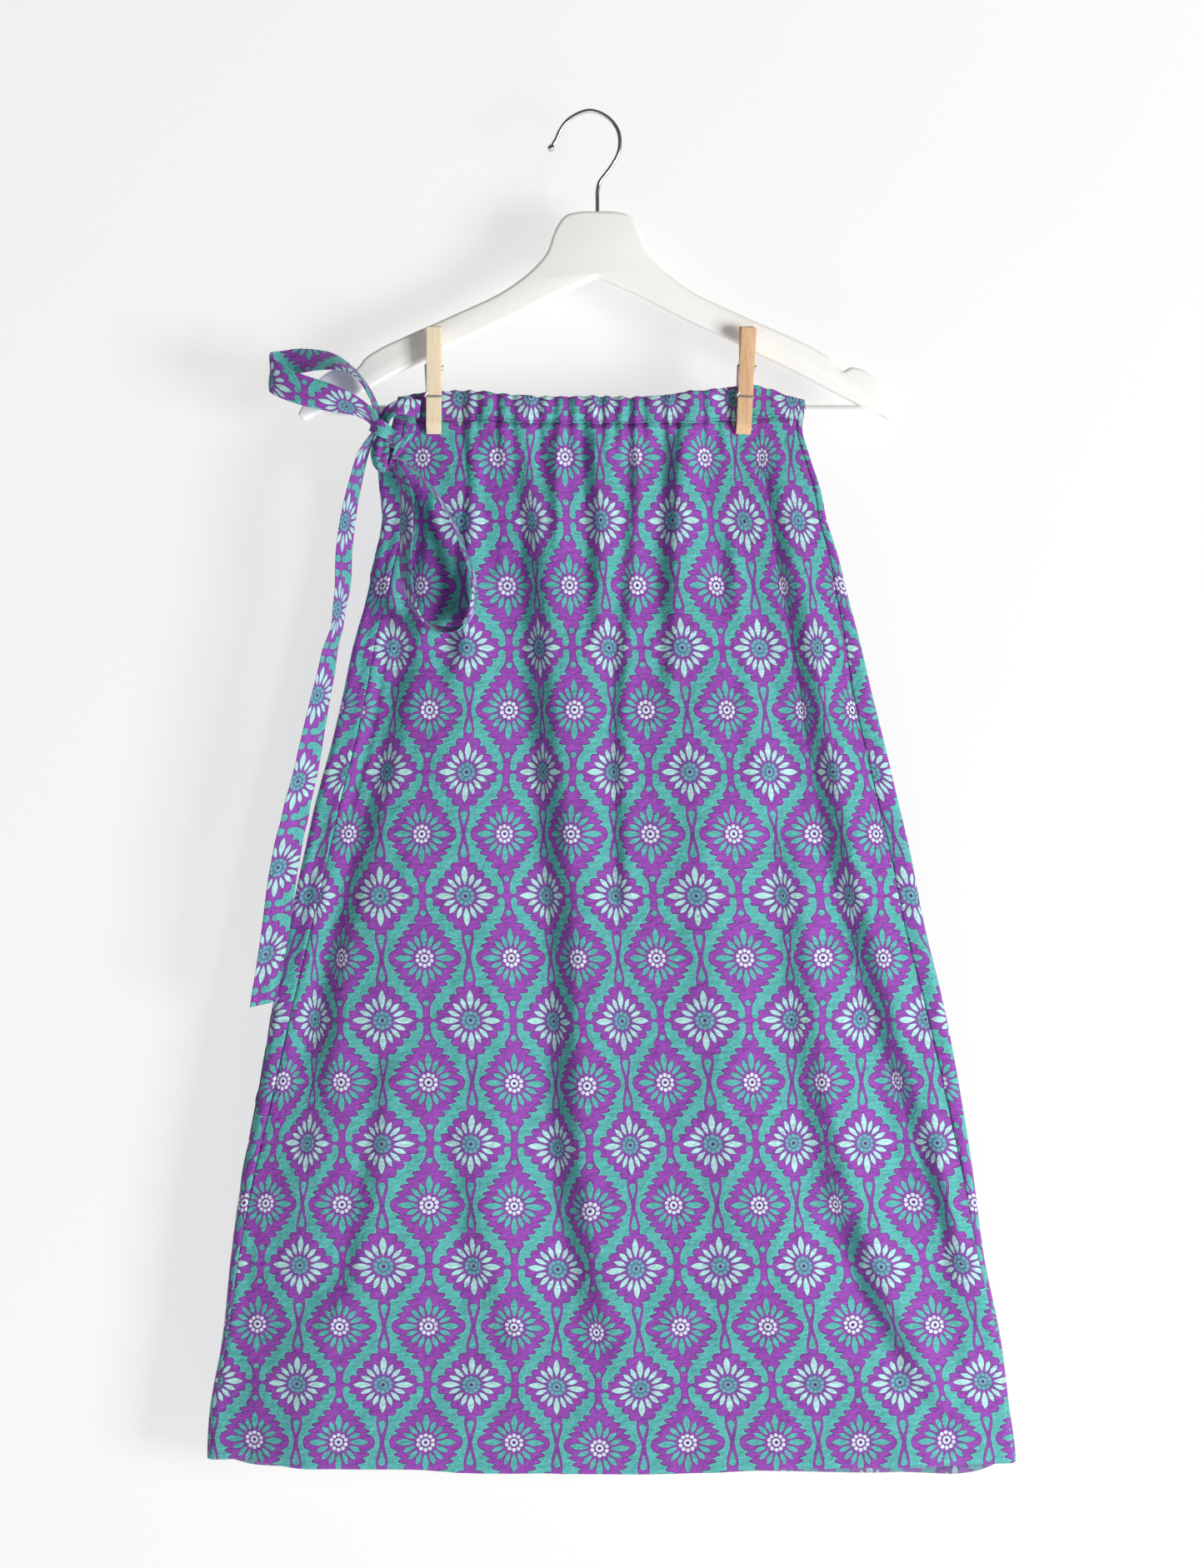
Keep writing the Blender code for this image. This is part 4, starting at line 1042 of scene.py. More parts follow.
def casing(name, side, top, grid_across, printer):
    """Half of the casing: the solid's form plus a bulge, the square root of a half sine down it."""
    u, v = np.meshgrid(spread(grid_across, END_CROWDING), np.linspace(0.0, 1.0, CASING_ROWS + 1))
    points = panel(side, edge(top), edge("seam", -SEAM_GAP / 2), u, v)
    x, drop = points[..., 0], -points[..., 2]
    outward = -1.0 if side == "front" else 1.0
    free = pinch(x, drop) if side == "front" else np.ones_like(x)
    swell = np.sqrt(np.clip(np.sin(math.pi * v), 0.0, 1.0)) - BULGE_LEVEL
    at_ends = ramp(np.minimum(u, 1 - u), 0.0, 0.03)
    wander = np.sin(x * 0.55 + 2.1 * np.sin(x * 0.087)) * (0.6 + 0.4 * np.sin(x * 0.031))
    pucker = PUCKER * wander * np.sin(math.pi * v) ** 0.5
    points[..., 1] += outward * (CASING_BULGE * swell + pucker) * at_ends * free
    dip = gather_relief(FRONT_GATHERS if side == "front" else BACK_GATHER_ROWS, x, drop)
    points[..., 2] += (TOP_WANDER * wander - TOP_DIP * dip) * (1 - ramp(v, 0.0, 0.4)) * at_ends
    return cotton_sheet(name, points, printer(points), CASING_WALL)


front_casing = casing("front_casing", "front", "front_top", 260, front_print)
back_casing = casing("back_casing", "back", "back_top", 220, back_print)
print("casing quads:", len(front_casing.data.polygons), len(back_casing.data.polygons))

# %% [markdown]
# ## The tie
# The tie is a strip of the same cloth, folded lengthwise and sewn, tied in a half bow. Each
# stretch is a flattened tube carried along a path: the path gives the middle, and a second
# vector gives half the width and the way that the strip faces.

# %% Tables of the tie
TIE_STRETCHES = {       # x y z of the middle, then x y z of half the width
    "tie_root": (
        (-122, -13, -215, 0.5, 0.6, 6.5),
        (-127.5, -17, -214.6, 1, 1.5, 6.4),
        (-133, -21, -214.4, 0.5, 3, 6),
        (-139.2, -23.5, -216.4, -1.5, 4, 5),
        (-144.6, -24, -220.8, -3.5, 4.5, 3),
        (-148, -23.5, -228, -3.5, 4, 1),
    ),
    "tie_loop_left": (
        (-149, -23.5, -236, 1.2, 3, 0),
        (-150.3, -23, -227, 1.3, 4, 0.5),
        (-152.3, -21.5, -217.5, 1.2, 5.5, 0.8),
        (-156, -20.3, -207, 1, 7, 1),
        (-161.8, -19.5, -196.5, 1, 8.2, 1),
        (-170.5, -18.5, -187.5, 0.5, 9.2, 3),
        (-185, -18, -181.7, 0, 8, 7),
        (-206, -18, -181.7, 0, 6, 9.8),
        (-220.5, -19.5, -186.5, 0, 2.5, 12.5),
        (-227.6, -25, -190.1, 0.3, 0, 13.5),
        (-222, -30.5, -196, 0, -1, 12.5),
        (-206, -33, -203.3, 0, -2, 11),
        (-185, -33.5, -209.3, 0.5, -3, 9.6),
        (-169, -32, -214, 1.5, -4, 6.8),
        (-158.5, -29, -219.8, 2.4, -4, 4),
        (-152.5, -26.5, -227, 2.4, -3.5, 2.2),
        (-149.5, -25, -235, 2, -3, 1),
    ),
    "tie_loop_right": (
        (-139.5, -27, -251, 0.8, 3, 0.8),
        (-132.5, -28.5, -255, 1, 4.5, 1),
        (-124.3, -28.5, -262.2, 1, 7, 1),
        (-111.7, -28.5, -275.4, 1.2, 8, 0.8),
        (-95.5, -28, -302.4, 1, 7, 0),
        (-84.1, -28.5, -333, 1, 7, 0),
        (-82.5, -29, -354, 1.5, 7, -0.5),
        (-87.7, -30, -369, 1, 8.5, 1.5),
        (-98.5, -30, -374, 0, 8.5, 2.5),
        (-111.7, -30, -373, -1.5, 8, 3),
        (-121.9, -30, -363, -3, 7.5, 2.5),
        (-129, -30, -346, -4.2, 7.5, 1),
        (-131.5, -30, -325, -4.8, 7.5, 0),
        (-130.5, -29, -300, -5, 7.5, 0),
        (-130, -28.5, -280, -5, 6.5, 0.5),
        (-134.5, -28, -264, -4, 5, 1.5),
        (-139.5, -26.5, -253, -2.4, 3, 1),
    ),
    "tie_tail": (
        (-150, -24, -231, 2, 4, 0.5),
        (-155.5, -23.5, -235.5, 1.6, 5, 0.5),
        (-160.5, -22.5, -246, 3.2, 7, 0.3),
        (-166.5, -22, -264, 3.8, 8, 0),
        (-171, -21.5, -285, 4.4, 8.5, 0),
        (-174.6, -21, -312.6, 4.8, 9, 0),
        (-176.4, -20.5, -338, 4.6, 9.5, 0),
        (-178.8, -20.5, -361, 3.2, 10.3, 0),
        (-182.4, -20.5, -378, 3.4, 10.3, 0),
        (-187.6, -20.5, -399.1, 5.1, 9.5, 0),
        (-199.6, -20.5, -459.2, 7.8, 7.5, 0.5),
        (-213.3, -21, -519.2, 9.5, 5.5, 1),
        (-218.9, -21, -547.5, 9.9, 4.5, 1.5),
        (-224.1, -21, -586.5, 9.9, 3.5, 1.5),
        (-233.3, -21, -641.2, 9.3, 2, 2),
    ),
}
KNOT_STRETCHES = {      # the same columns: the wrap round the neck, and the strap beside it
    "knot_wrap": (
        (-152, -17, -225, 0.8, 1, 3.6),
        (-155.8, -21, -226.5, 0.8, -0.5, 4.6),
        (-154, -27, -228, 1.4, -0.5, 5.2),
        (-148.8, -30, -230.6, 1.8, 0, 5.6),
        (-144, -27.5, -233.4, 1.6, 0.5, 5),
        (-141.8, -21.5, -234.8, 1.2, 1, 4.2),
        (-145, -17, -233, 1, 0, 3.4),
    ),
    "knot_strap": (
        (-141, -14.5, -219, 5, 1, 2.5),
        (-133.5, -16, -220.5, 4.8, 2.5, 2),
        (-128.6, -20.5, -224, 3.6, 3.5, 1.8),
        (-127, -24, -230.5, 3, 2.6, 1),
        (-130.4, -27, -237.5, 4.6, 1.5, 1.5),
        (-135.2, -28, -245, 4.6, 1, 2.2),
        (-139.2, -27, -251.5, 2.8, 1.5, 1.4),
        (-141.5, -24.5, -256.5, 1.6, 1.5, 0.6),
    ),
}
TIE_START = {"tie_root": 20.0, "tie_loop_left": 38.5, "tie_loop_right": 36.0, "tie_tail": 22.0,
             "knot_wrap": 52.0, "knot_strap": 70.0}
TIE_OFFSET = {"tie_root": 9.0, "tie_loop_left": 26.0, "tie_loop_right": 40.0, "tie_tail": 28.0,
              "knot_wrap": 20.0, "knot_strap": 12.0}
TIE_THICK = 1.5
TIE_STEPS = 12
TIE_AROUND = 28
TIE_SQUARED = 0.55          # a power below 1 makes the strip's faces flat
TIE_ROLL = 0.35             # its sewn edges are this much thicker
TIE_BUCKLE, TIE_CUP = 0.45, 0.35


# %% Make the tie
def strip(name, rows):
    """A flattened tube along a path: half width times the cosine, thickness times a squared-off sine,
    with a rolled edge, a shallow cup across it and soft buckles along it."""
    table = np.array(rows)
    known = np.arange(len(table), dtype=float)
    at = np.linspace(0.0, known[-1], (len(table) - 1) * TIE_STEPS + 1)
    read = [flowing(known, table[:, i], at) for i in range(6)]
    centre, wide = np.stack(read[:3], axis=-1), np.stack(read[3:], axis=-1)
    run = np.gradient(centre, axis=0)
    square = unit(np.cross(run, wide))
    half = np.linalg.norm(wide, axis=-1)
    travelled = travelled_along(centre)
    turn = np.linspace(0.0, 2 * math.pi, TIE_AROUND + 1)
    share, lift = np.cos(turn), np.sin(turn)
    thick = TIE_THICK / 2 * np.sign(lift) * np.abs(lift) ** TIE_SQUARED * (1 + TIE_ROLL * share ** 8)
    buckle = TIE_BUCKLE * np.sin(travelled / 7.3 + 2.0 * np.sin(travelled / 23.0))[:, None] * (share ** 2)
    lengthwise = TIE_CUP * np.sin(5.0 * share + 0.9) * np.sin(travelled / 31.0 + 1.0)[:, None]
    rise = thick + buckle + lengthwise
    points = centre[:, None] + share[:, None] * wide[:, None] + rise[..., None] * square[:, None]
    round_way = np.where(turn <= math.pi, 1 - share, 3 + share)
    uv = np.stack([
        np.broadcast_to(travelled[:, None] + TIE_START[name], rise.shape),
        np.broadcast_to(half.max() * round_way + TIE_OFFSET[name], rise.shape),
    ], axis=-1) * MM
    piece = finished(closed_tube(name + "_cloth", points[:, :-1], uv), COTTON)
    return piece, travelled[-1], 2 * half.mean()


strips = {}
for title, rows in TIE_STRETCHES.items():
    strips[title] = strip(title, rows)
    print(title, "length", round(strips[title][1]), "width", round(strips[title][2], 1))

# %% [markdown]
# ## The knot
# Under the knot the cloth bunches into a puff; a wrap of the strip holds its neck, and a
# strap runs down beside it. The puff is a ball whose radius dips along pleats that spread
# from the neck. The wrap and the strap are strips, as above.

# %% Make the knot
PUFF_CENTRE = (-147.5, -20.5, -246.0)
PUFF_HALF = (9.6, 8.0, 15.5)
PUFF_PLEATS = 9
PLEAT_DEPTH = 0.085
PUFF_ROWS, PUFF_AROUND = 72, 145
PUFF_END = 0.03             # the puff's small caps, as an angle from its ends
NECK_NARROW, NECK_LONG = 0.45, 0.75
PUFF_WRINKLE = 0.03
PUFF_PRINT = (10.0, 17.0, -22.0)    # cloth for each unit of turn and of height, and its start
KNOT_WIDE = 0.04


def puff():
    """A closed ball of two angles, narrowed to its neck, stretched, and pleated from the neck down."""
    up = np.linspace(PUFF_END, math.pi - PUFF_END, PUFF_ROWS)[:, None]
    wide_turn = np.linspace(0.0, 2 * math.pi, PUFF_AROUND)[None, :]
    turn = wide_turn[:, :-1]
    neck = 1 - NECK_NARROW * np.exp(-0.5 * (up / NECK_LONG) ** 2)
    pleat = PLEAT_DEPTH * (1 + np.cos(PUFF_PLEATS * turn + 1.4 * np.sin(2 * turn) + 1.1 * up)) ** 1.4
    wrinkle = PUFF_WRINKLE * np.sin(5 * turn + 4 * np.sin(3 * up)) * np.sin(2 * up)
    radius = neck * (1 - pleat * np.sin(up) ** 0.5 * (1 - 0.5 * ramp(up, 1.2, 2.8)) + wrinkle)
    ball = np.stack([radius * np.sin(up) * np.cos(turn), radius * np.sin(up) * np.sin(turn),
                     np.cos(up) + 0 * turn], axis=-1)
    points = ball * np.array(PUFF_HALF) + np.array(PUFF_CENTRE)
    across, down, first = PUFF_PRINT
    uv = np.stack([wide_turn * across + 0 * up, down * up + first + 0 * wide_turn], axis=-1) * MM
    return closed_tube("puff", points, uv)


def surface(piece):
    """The area of a piece's faces in square metres."""
    area = np.empty(len(piece.data.polygons))
    piece.data.polygons.foreach_get("area", area)
    return float(area.sum())


knot_parts = [puff()] + [strip(title, rows)[0] for title, rows in KNOT_STRETCHES.items()]
tie_knot = finished(joined("tie_knot_cloth", knot_parts), COTTON)
knot_cut = (KNOT_WIDE, surface(tie_knot) / 2 / KNOT_WIDE)
print("knot quads:", len(tie_knot.data.polygons), "cut:", [round(side * 1000) for side in knot_cut], "mm")

# %% [markdown]
# ## The hanger
# The board is cut from wood and painted white, with softly rounded edges. It is an outline
# carried from front to back, drawn in near both faces by a quarter circle. The bar and the
# wire hook are round sections carried along paths.

# %% Tables of the hanger
HANGER_CENTRE = 5.4
HANGER_THICK = 10.6
HANGER_ROUNDING = 2.8
HANGER_HALF = (
    (0, 71.4), (14, 71.9), (22.8, 74.4), (27.3, 79.2), (31.1, 86.2), (36.6, 101.2), (48, 114.4),
    (61.9, 125.2), (105.1, 146.8), (140.5, 162.5), (158, 171), (168.2, 178.1), (171.8, 183),
    (176.6, 186.5), (182, 183.9), (189.2, 184.9), (199.4, 191.3), (206.6, 199.7), (210.8, 208.7),
    (215, 219), (212, 221.6), (203.6, 218.3), (175.4, 204.5), (144.7, 188.3), (100.3, 166.7),
    (61.9, 148.6), (20, 127.6), (0, 119.2),
)
BAR_RADIUS = 3.75
BAR_DROP = 214.5
BAR_HALF = 201.0
HOOK_WIRE = 1.6
HOOK_BALL = 1.75
BALL_CENTRE, BALL_HALF, BALL_END = 2.6, 2.8, 5.4
BOARD_POINTS, BAR_POINTS, HOOK_POINTS = 260, 60, 180
HOOK_PATH = (
    (-29.4, 27.7), (-27.9, 25), (-24.4, 19), (-21.5, 12.6), (-17, 6.4), (-10.6, 1.7), (0, -1.6),
    (8.4, 0.6), (15.9, 6.2), (20.4, 13.3), (21.6, 21.1), (20.4, 29), (16.5, 36.8), (11.3, 44),
    (6.7, 50.5), (5.4, 57), (5.4, 64), (5.4, 76.5),
)


# %% Helpers for boards and wires
def slab(name, outline, thickness, rounding, place):
    """An outline as a board with quarter-round edges. place turns board points into world points:
    outline x, outline y and depth. The outline is drawn in by rounding times one less the cosine."""
    before, after = np.roll(outline, 1, axis=0), np.roll(outline, -1, axis=0)
    run = after - before
    inward = unit(np.stack([-run[:, 1], run[:, 0]], axis=-1))
    area = 0.5 * np.sum(outline[:, 0] * after[:, 1] - after[:, 0] * outline[:, 1])
    inward *= np.sign(area)
    turn = np.linspace(0.0, math.pi / 2, 5)
    inset = rounding * (1 - np.sin(turn))
    depth = thickness / 2 - rounding + rounding * np.cos(turn)
    inset = np.concatenate([inset, inset[::-1]])
    depth = np.concatenate([depth, -depth[::-1]])
    flat = outline[None, :, :] + inset[:, None, None] * inward[None, :, :]
    solid = np.concatenate([flat, np.broadcast_to(depth[:, None, None], flat.shape[:2] + (1,))], axis=-1)
    return closed_tube(name, place(solid))


def wire_along(name, path, radius, around=20):
    """A round wire along a path: each ring turned as little as possible from the one before."""
    run = unit(np.gradient(path, axis=0))
    aside = np.cross(run[0], (0.31, 0.89, 0.34))
    sides = []
    for direction in run:
        aside = unit(aside - direction * np.dot(aside, direction))
        sides.append(aside)
    side = np.array(sides)
    lift = np.cross(run, side)
    turn = np.linspace(0.0, 2 * math.pi, around, endpoint=False)
    radius = np.broadcast_to(radius, len(path))[:, None, None]
    circle = np.cos(turn)[None, :, None] * side[:, None, :] + np.sin(turn)[None, :, None] * lift[:, None, :]
    return closed_tube(name, path[:, None, :] + radius * circle)


def through(rows, steps):
    """A smooth path through a table's rows."""
    table = np.array(rows, dtype=float)
    known = travelled_along(table)
    at = np.linspace(0.0, known[-1], steps)
    return np.stack([flowing(known, table[:, i], at) for i in range(table.shape[1])], axis=-1)


# %% Make the hanger
def upright(points):
    """Board points as world points: x across, y up the board, depth to the front."""
    return np.stack([points[..., 0], -points[..., 2], points[..., 1]], axis=-1)


half_outline = through(HANGER_HALF, BOARD_POINTS) * (1.0, -1.0)
outline = np.concatenate([half_outline, half_outline[-2:0:-1] * (-1.0, 1.0)]) + (HANGER_CENTRE, 0.0)
hanger_board = slab("hanger_board", outline, HANGER_THICK, HANGER_ROUNDING, upright)

bar_share = np.sin(np.linspace(-math.pi / 2, math.pi / 2, BAR_POINTS))
bar_path = np.stack([HANGER_CENTRE + BAR_HALF * bar_share, 0 * bar_share, -BAR_DROP + 0 * bar_share], axis=-1)
hanger_rail = wire_along("hanger_rail", bar_path, BAR_RADIUS, 32)

hook_flat = through(HOOK_PATH, HOOK_POINTS)
hook_path = np.stack([hook_flat[:, 0], 0 * hook_flat[:, 0], -hook_flat[:, 1]], axis=-1)
hook_travel = travelled_along(hook_path)
ball = np.sqrt(np.clip(1 - ((hook_travel - BALL_CENTRE) / BALL_HALF) ** 2, 0.02, 1.0)) * HOOK_BALL * HOOK_WIRE
wire = np.where(hook_travel < BALL_CENTRE, 0.0, HOOK_WIRE)
hook_radius = np.where(hook_travel < BALL_END, np.maximum(ball, wire), HOOK_WIRE)
hook_wire = wire_along("hook_wire", hook_path, hook_radius, 24)
print("hanger board quads:", len(hanger_board.data.polygons), "hook length:", round(hook_travel[-1]), "mm")

# %% [markdown]
# ## The pegs
# Each peg is two milled sticks held by a coiled wire. A leg is an outline, seen from its
# side, carried across its width; the wire lies in a groove across the outer faces.

# %% Make the pegs
PEGS = (                # name x drop front_lean rear_lean
    ("left", -111.6, 185.1, 0.5, 0.5),
    ("right", 112.4, 185.3, 2.8, -0.6),
)
PEG_WIDTH = 10.8
PEG_THICK = 7.0
PEG_HANDLE = 28.2
PEG_JAW = 47.5
PEG_HANDLE_TAPER = 6.1
PEG_HANDLE_FLARE = 1.9
PEG_JAW_BEVEL = 6.0
PEG_FRONT_TILT = 3.6
PEG_NOTCH = 3.4
PEG_OPEN_SLOPE = 0.215
PEG_ROUNDING = 0.55
PEG_FACE = 0.15             # each leg's inner face stands off the middle by this
PEG_JAW_TIP = 2.6
PEG_WIRE_POINTS = 480
JAW_FACE = -7.6
SPRING_WIRE = 0.7
SPRING_COIL = 2.2
SPRING_TURNS = 3
SPRING_GRIP = 21.0
GROOVE = 0.9


def leg_outline():
    """One leg seen from its side: x is away from the other leg, y is up the leg."""
    points = [(PEG_FACE, -PEG_JAW), (PEG_JAW_TIP, -PEG_JAW), (PEG_THICK, -PEG_JAW + PEG_JAW_BEVEL)]
    points += [(PEG_THICK - GROOVE * math.sqrt(max(0.0, 1 - t * t)), -SPRING_GRIP + GROOVE * t)
               for t in np.linspace(-1.0, 1.0, 7)]
    points += [(PEG_THICK, 0.0), (PEG_THICK + PEG_HANDLE_FLARE, PEG_HANDLE), (PEG_HANDLE_TAPER, PEG_HANDLE)]
    for angle in np.linspace(math.pi / 2, -math.pi / 2, 12):
        height = PEG_NOTCH * math.sin(angle)
        points.append((PEG_FACE + max(PEG_NOTCH * math.cos(angle), PEG_OPEN_SLOPE * height), height))
    return np.array(points)


def leg_matrix(x, drop, depth, lean, tilt, facing):
    """Place a leg: facing is -1 for the front leg and 1 for the rear leg."""
    away = Matrix(((0, 0, facing, 0), (facing, 0, 0, 0), (0, 1, 0, 0), (0, 0, 0, 1)))
    turn = Matrix.Rotation(math.radians(lean), 4, "Y") @ Matrix.Rotation(math.radians(tilt), 4, "X")
    return Matrix.Translation(Vector((x, depth, -drop))) @ turn @ away


def moved(matrix, points):
    """Points carried by a matrix."""
    table = np.array(matrix)
    return points @ table[:3, :3].T + table[:3, 3]


def closer(outline, step):
    """The outline with points at even steps along its straight stretches."""
    parts = []
    for start, end in zip(outline, np.roll(outline, -1, axis=0)):
        count = max(1, int(np.linalg.norm(end - start) / step))
        parts.append(start + (end - start) * np.arange(count)[:, None] / count)
    return np.concatenate(parts)


def straight(start, end):
    """Points inside the straight run between two points."""
    return start + (end - start) * np.linspace(0.04, 0.96, 14)[:, None]


def peg(name, x, drop, front_lean, rear_lean):
    """Two legs and their spring: arms from the grooves to a coil along the peg's width."""
    tilt = math.radians(PEG_FRONT_TILT)
    depth = JAW_FACE - math.sin(tilt) * PEG_JAW
    below = BAR_DROP - drop
    rear_tilt = math.degrees(
        math.atan2(-depth, below) + math.asin((BAR_RADIUS + 0.5) / math.hypot(depth, below)))
    front = leg_matrix(x, drop, depth, front_lean, PEG_FRONT_TILT, -1)
    rear = leg_matrix(x, drop, depth, rear_lean, rear_tilt, 1)
    made = []
    for side, matrix in (("front", front), ("rear", rear)):
        made.append(slab("peg_" + name + "_" + side + "_leg", closer(leg_outline(), 2.0), PEG_WIDTH,
                         PEG_ROUNDING, lambda points, matrix=matrix: moved(matrix, points)))
    side = PEG_WIDTH / 2 + SPRING_WIRE + 0.3
    face = PEG_THICK + 0.15
    across = np.linspace(-side, side, 12)
    flat_wire = np.stack([0 * across + face, 0 * across - SPRING_GRIP, across], axis=-1)
    angle = math.radians(150.0) + np.linspace(0.0, 2 * math.pi * SPRING_TURNS, SPRING_TURNS * 20 + 1)
    coil = np.stack([np.linspace(side, -side, len(angle)), SPRING_COIL * np.cos(angle),
                     SPRING_COIL * np.sin(angle)], axis=-1) + (x, depth, -drop)
    front_wire, rear_wire = moved(front, flat_wire), moved(rear, flat_wire)
    path = np.concatenate([front_wire, straight(front_wire[-1], coil[0]), coil,
                           straight(coil[-1], rear_wire[0]), rear_wire])
    made.append(wire_along("peg_" + name + "_wire", through(path, PEG_WIRE_POINTS), SPRING_WIRE, 12))
    return made


pegs = {row[0]: peg(*row) for row in PEGS}
print("peg pieces:", [piece.name for row in pegs.values() for piece in row])

# %% [markdown]
# ## Stitching
# A row of stitches on each side holds the casing down. Each stitch is a small bead of
# thread: an ellipsoid laid along the seam, with only a few dozen faces.

# %% Make the stitches
STITCH_STEP = 3.2
STITCH_LONG = 2.3
STITCH_ROUND = 0.28
STITCH_RINGS, STITCH_SIDES = 5, 6
STITCH_DROP, STITCH_LIFT = -2.0, 0.75
SEAM_PROBE, PROBE_SHARE = 20.0, 0.01    # the cloth just below the line gives the way down it


def seam_line(side, level_edge, offset, steps, margin):
    """A line round one side of the skirt at an offset from an edge, with the way out of the cloth."""
    across = np.linspace(margin, 1 - margin, steps)
    u, v = np.meshgrid(across, np.array([0.0, PROBE_SHARE]))
    points = panel(side, edge(level_edge, offset), edge(level_edge, offset + SEAM_PROBE), u, v)
    run_across = np.gradient(points[0], axis=0)
    outward = np.cross(points[1] - points[0], run_across)
    return points[0], unit(outward)


def stitches(name, line, outward, lift):
    """Beads at even steps along a line: half length, width and height times a ball's three axes."""
    travel = travelled_along(line)
    at = np.arange(STITCH_STEP, travel[-1] - STITCH_STEP, STITCH_STEP)
    centre = np.stack([np.interp(at, travel, line[:, i]) for i in range(3)], axis=-1)
    out = np.stack([np.interp(at, travel, outward[:, i]) for i in range(3)], axis=-1)
    run = unit(np.stack([np.interp(at + 0.5, travel, line[:, i]) for i in range(3)], axis=-1) - centre)
    aside = np.cross(run, out)
    up = np.linspace(0.12, math.pi - 0.12, STITCH_RINGS)[:, None]
    turn = np.linspace(0.0, 2 * math.pi, STITCH_SIDES, endpoint=False)
    ball = np.stack([np.cos(up) + 0 * turn, np.sin(up) * np.cos(turn), np.sin(up) * np.sin(turn)], axis=-1)
    ball = ball * (STITCH_LONG / 2, STITCH_ROUND, STITCH_ROUND)
    frame_of = np.stack([run, aside, out], axis=1)
    points = np.einsum("rak,nkj->nraj", ball, frame_of) + (centre + out * lift)[:, None, None, :]
    quads, _ = grid_quads(STITCH_RINGS, STITCH_SIDES, True)
    each = STITCH_RINGS * STITCH_SIDES
    first = each * np.arange(len(points))
    faces = (quads + first[:, None, None]).reshape(-1, 4).tolist()
    for start in (first, first + each - STITCH_SIDES):
        faces += (start[:, None] + np.arange(STITCH_SIDES)).tolist()
    piece = put_in_mesh(name, points * MM, faces)
    face_outwards(piece)
    return piece


waist_stitches = {}
for side in ("front", "back"):
    line, outward = seam_line(side, "seam", STITCH_DROP, 500, 0.02)
    waist_stitches[side] = stitches(side + "_casing_stitches", line, outward, STITCH_LIFT)
print("stitch faces:", len(waist_stitches["front"].data.polygons))

# %% [markdown]
# ## Paint, steel and wood
# White paint is smooth with faint brush marks along the board. One peg is pale and
# the other honey-coloured, both with long grain. Steel is bright, with a slightly uneven polish.


# %% Hard finishes
BRUSH_MARKS = (35.0, 400.0, 400.0)
PAINT_SHADES = ((0.95, 0.95, 0.925, 1.0), (0.98, 0.98, 0.965, 1.0))
STEEL_DULL = 0.82
GRAIN_LONG, GRAIN_BROAD, GRAIN_PORES = (520.0, 520.0, 26.0), (110.0, 110.0, 9.0), (2600.0, 2600.0, 160.0)


def object_place(tree):
    """A point of the object in metres."""
    return tree.nodes.new("ShaderNodeTexCoord").outputs["Object"]


def white_paint():
    """Satin paint over wood: a faint warm shade and low brush marks."""
    material, tree, shader = new_material("white satin paint")
    place = object_place(tree)
    brush = noise(tree, stretched(tree, place, BRUSH_MARKS), scale=1.0, detail=3.0)
    cloud = noise(tree, place, scale=14.0)
    plug(tree, mixed(tree, cloud, *PAINT_SHADES), shader.inputs["Base Color"])
    plug(tree, brush * 0.16 + 0.34, shader.inputs["Roughness"])
    plug(tree, raised(tree, brush, strength=0.18, distance=0.0004), shader.inputs["Normal"])
    return material


def bright_steel(name, roughness, tone):
    """Plated wire: metal with a slightly uneven polish."""
    material, tree, shader = new_material(name)
    cloud = noise(tree, object_place(tree), scale=260.0, detail=3.0)
    dull = tuple(v * STEEL_DULL for v in tone)
    plug(tree, mixed(tree, cloud, dull + (1.0,), tone + (1.0,)), shader.inputs["Base Color"])
    shader.inputs["Metallic"].default_value = 1.0
    plug(tree, cloud * 0.14 + roughness, shader.inputs["Roughness"])
    return material


def wood_grain():
    """Grain of a milled stick that stands upright: colour share and height."""
    group, given, result = new_group(
        "stick grain", [("Place", "Vector", None)], [("Grain", "Float"), ("Pores", "Float")])
    long_grain = noise(group, stretched(group, given["Place"], GRAIN_LONG), 1.0, 4.0, 0.65)
    broad = noise(group, stretched(group, given["Place"], GRAIN_BROAD), 1.0)
    pores = noise(group, stretched(group, given["Place"], GRAIN_PORES), 1.0)
    grain = (long_grain * 0.6 + broad * 0.5).math("MULTIPLY_ADD", 2.4, -0.85, clamp=True)
    group.links.new(grain.socket, result["Grain"])
    group.links.new((pores * 0.4 + long_grain * 0.6).socket, result["Pores"])
    return group


STICK_GRAIN = wood_grain()


def peg_wood(name, pale, dark):
    """Bare wood between two colours along its grain."""
    material, tree, shader = new_material(name)
    grain = placed(tree, STICK_GRAIN, Place=object_place(tree))
    plug(tree, mixed(tree, grain["Grain"], pale, dark), shader.inputs["Base Color"])
    plug(tree, Reading(tree, grain["Pores"]) * 0.25 + 0.5, shader.inputs["Roughness"])
    plug(tree, raised(tree, grain["Pores"], strength=0.4, distance=0.0003), shader.inputs["Normal"])
    return material


def sewing_thread():
    """Purple thread with a fine twist."""
    material, tree, shader = new_material("purple thread")
    twist = noise(tree, stretched(tree, object_place(tree), (2200.0, 2200.0, 900.0)), 1.0, 1.0)
    plug(tree, mixed(tree, twist, linear(62, 34, 88), linear(112, 66, 146)), shader.inputs["Base Color"])
    plug(tree, twist * 0.2 + 0.6, shader.inputs["Roughness"])
    return material


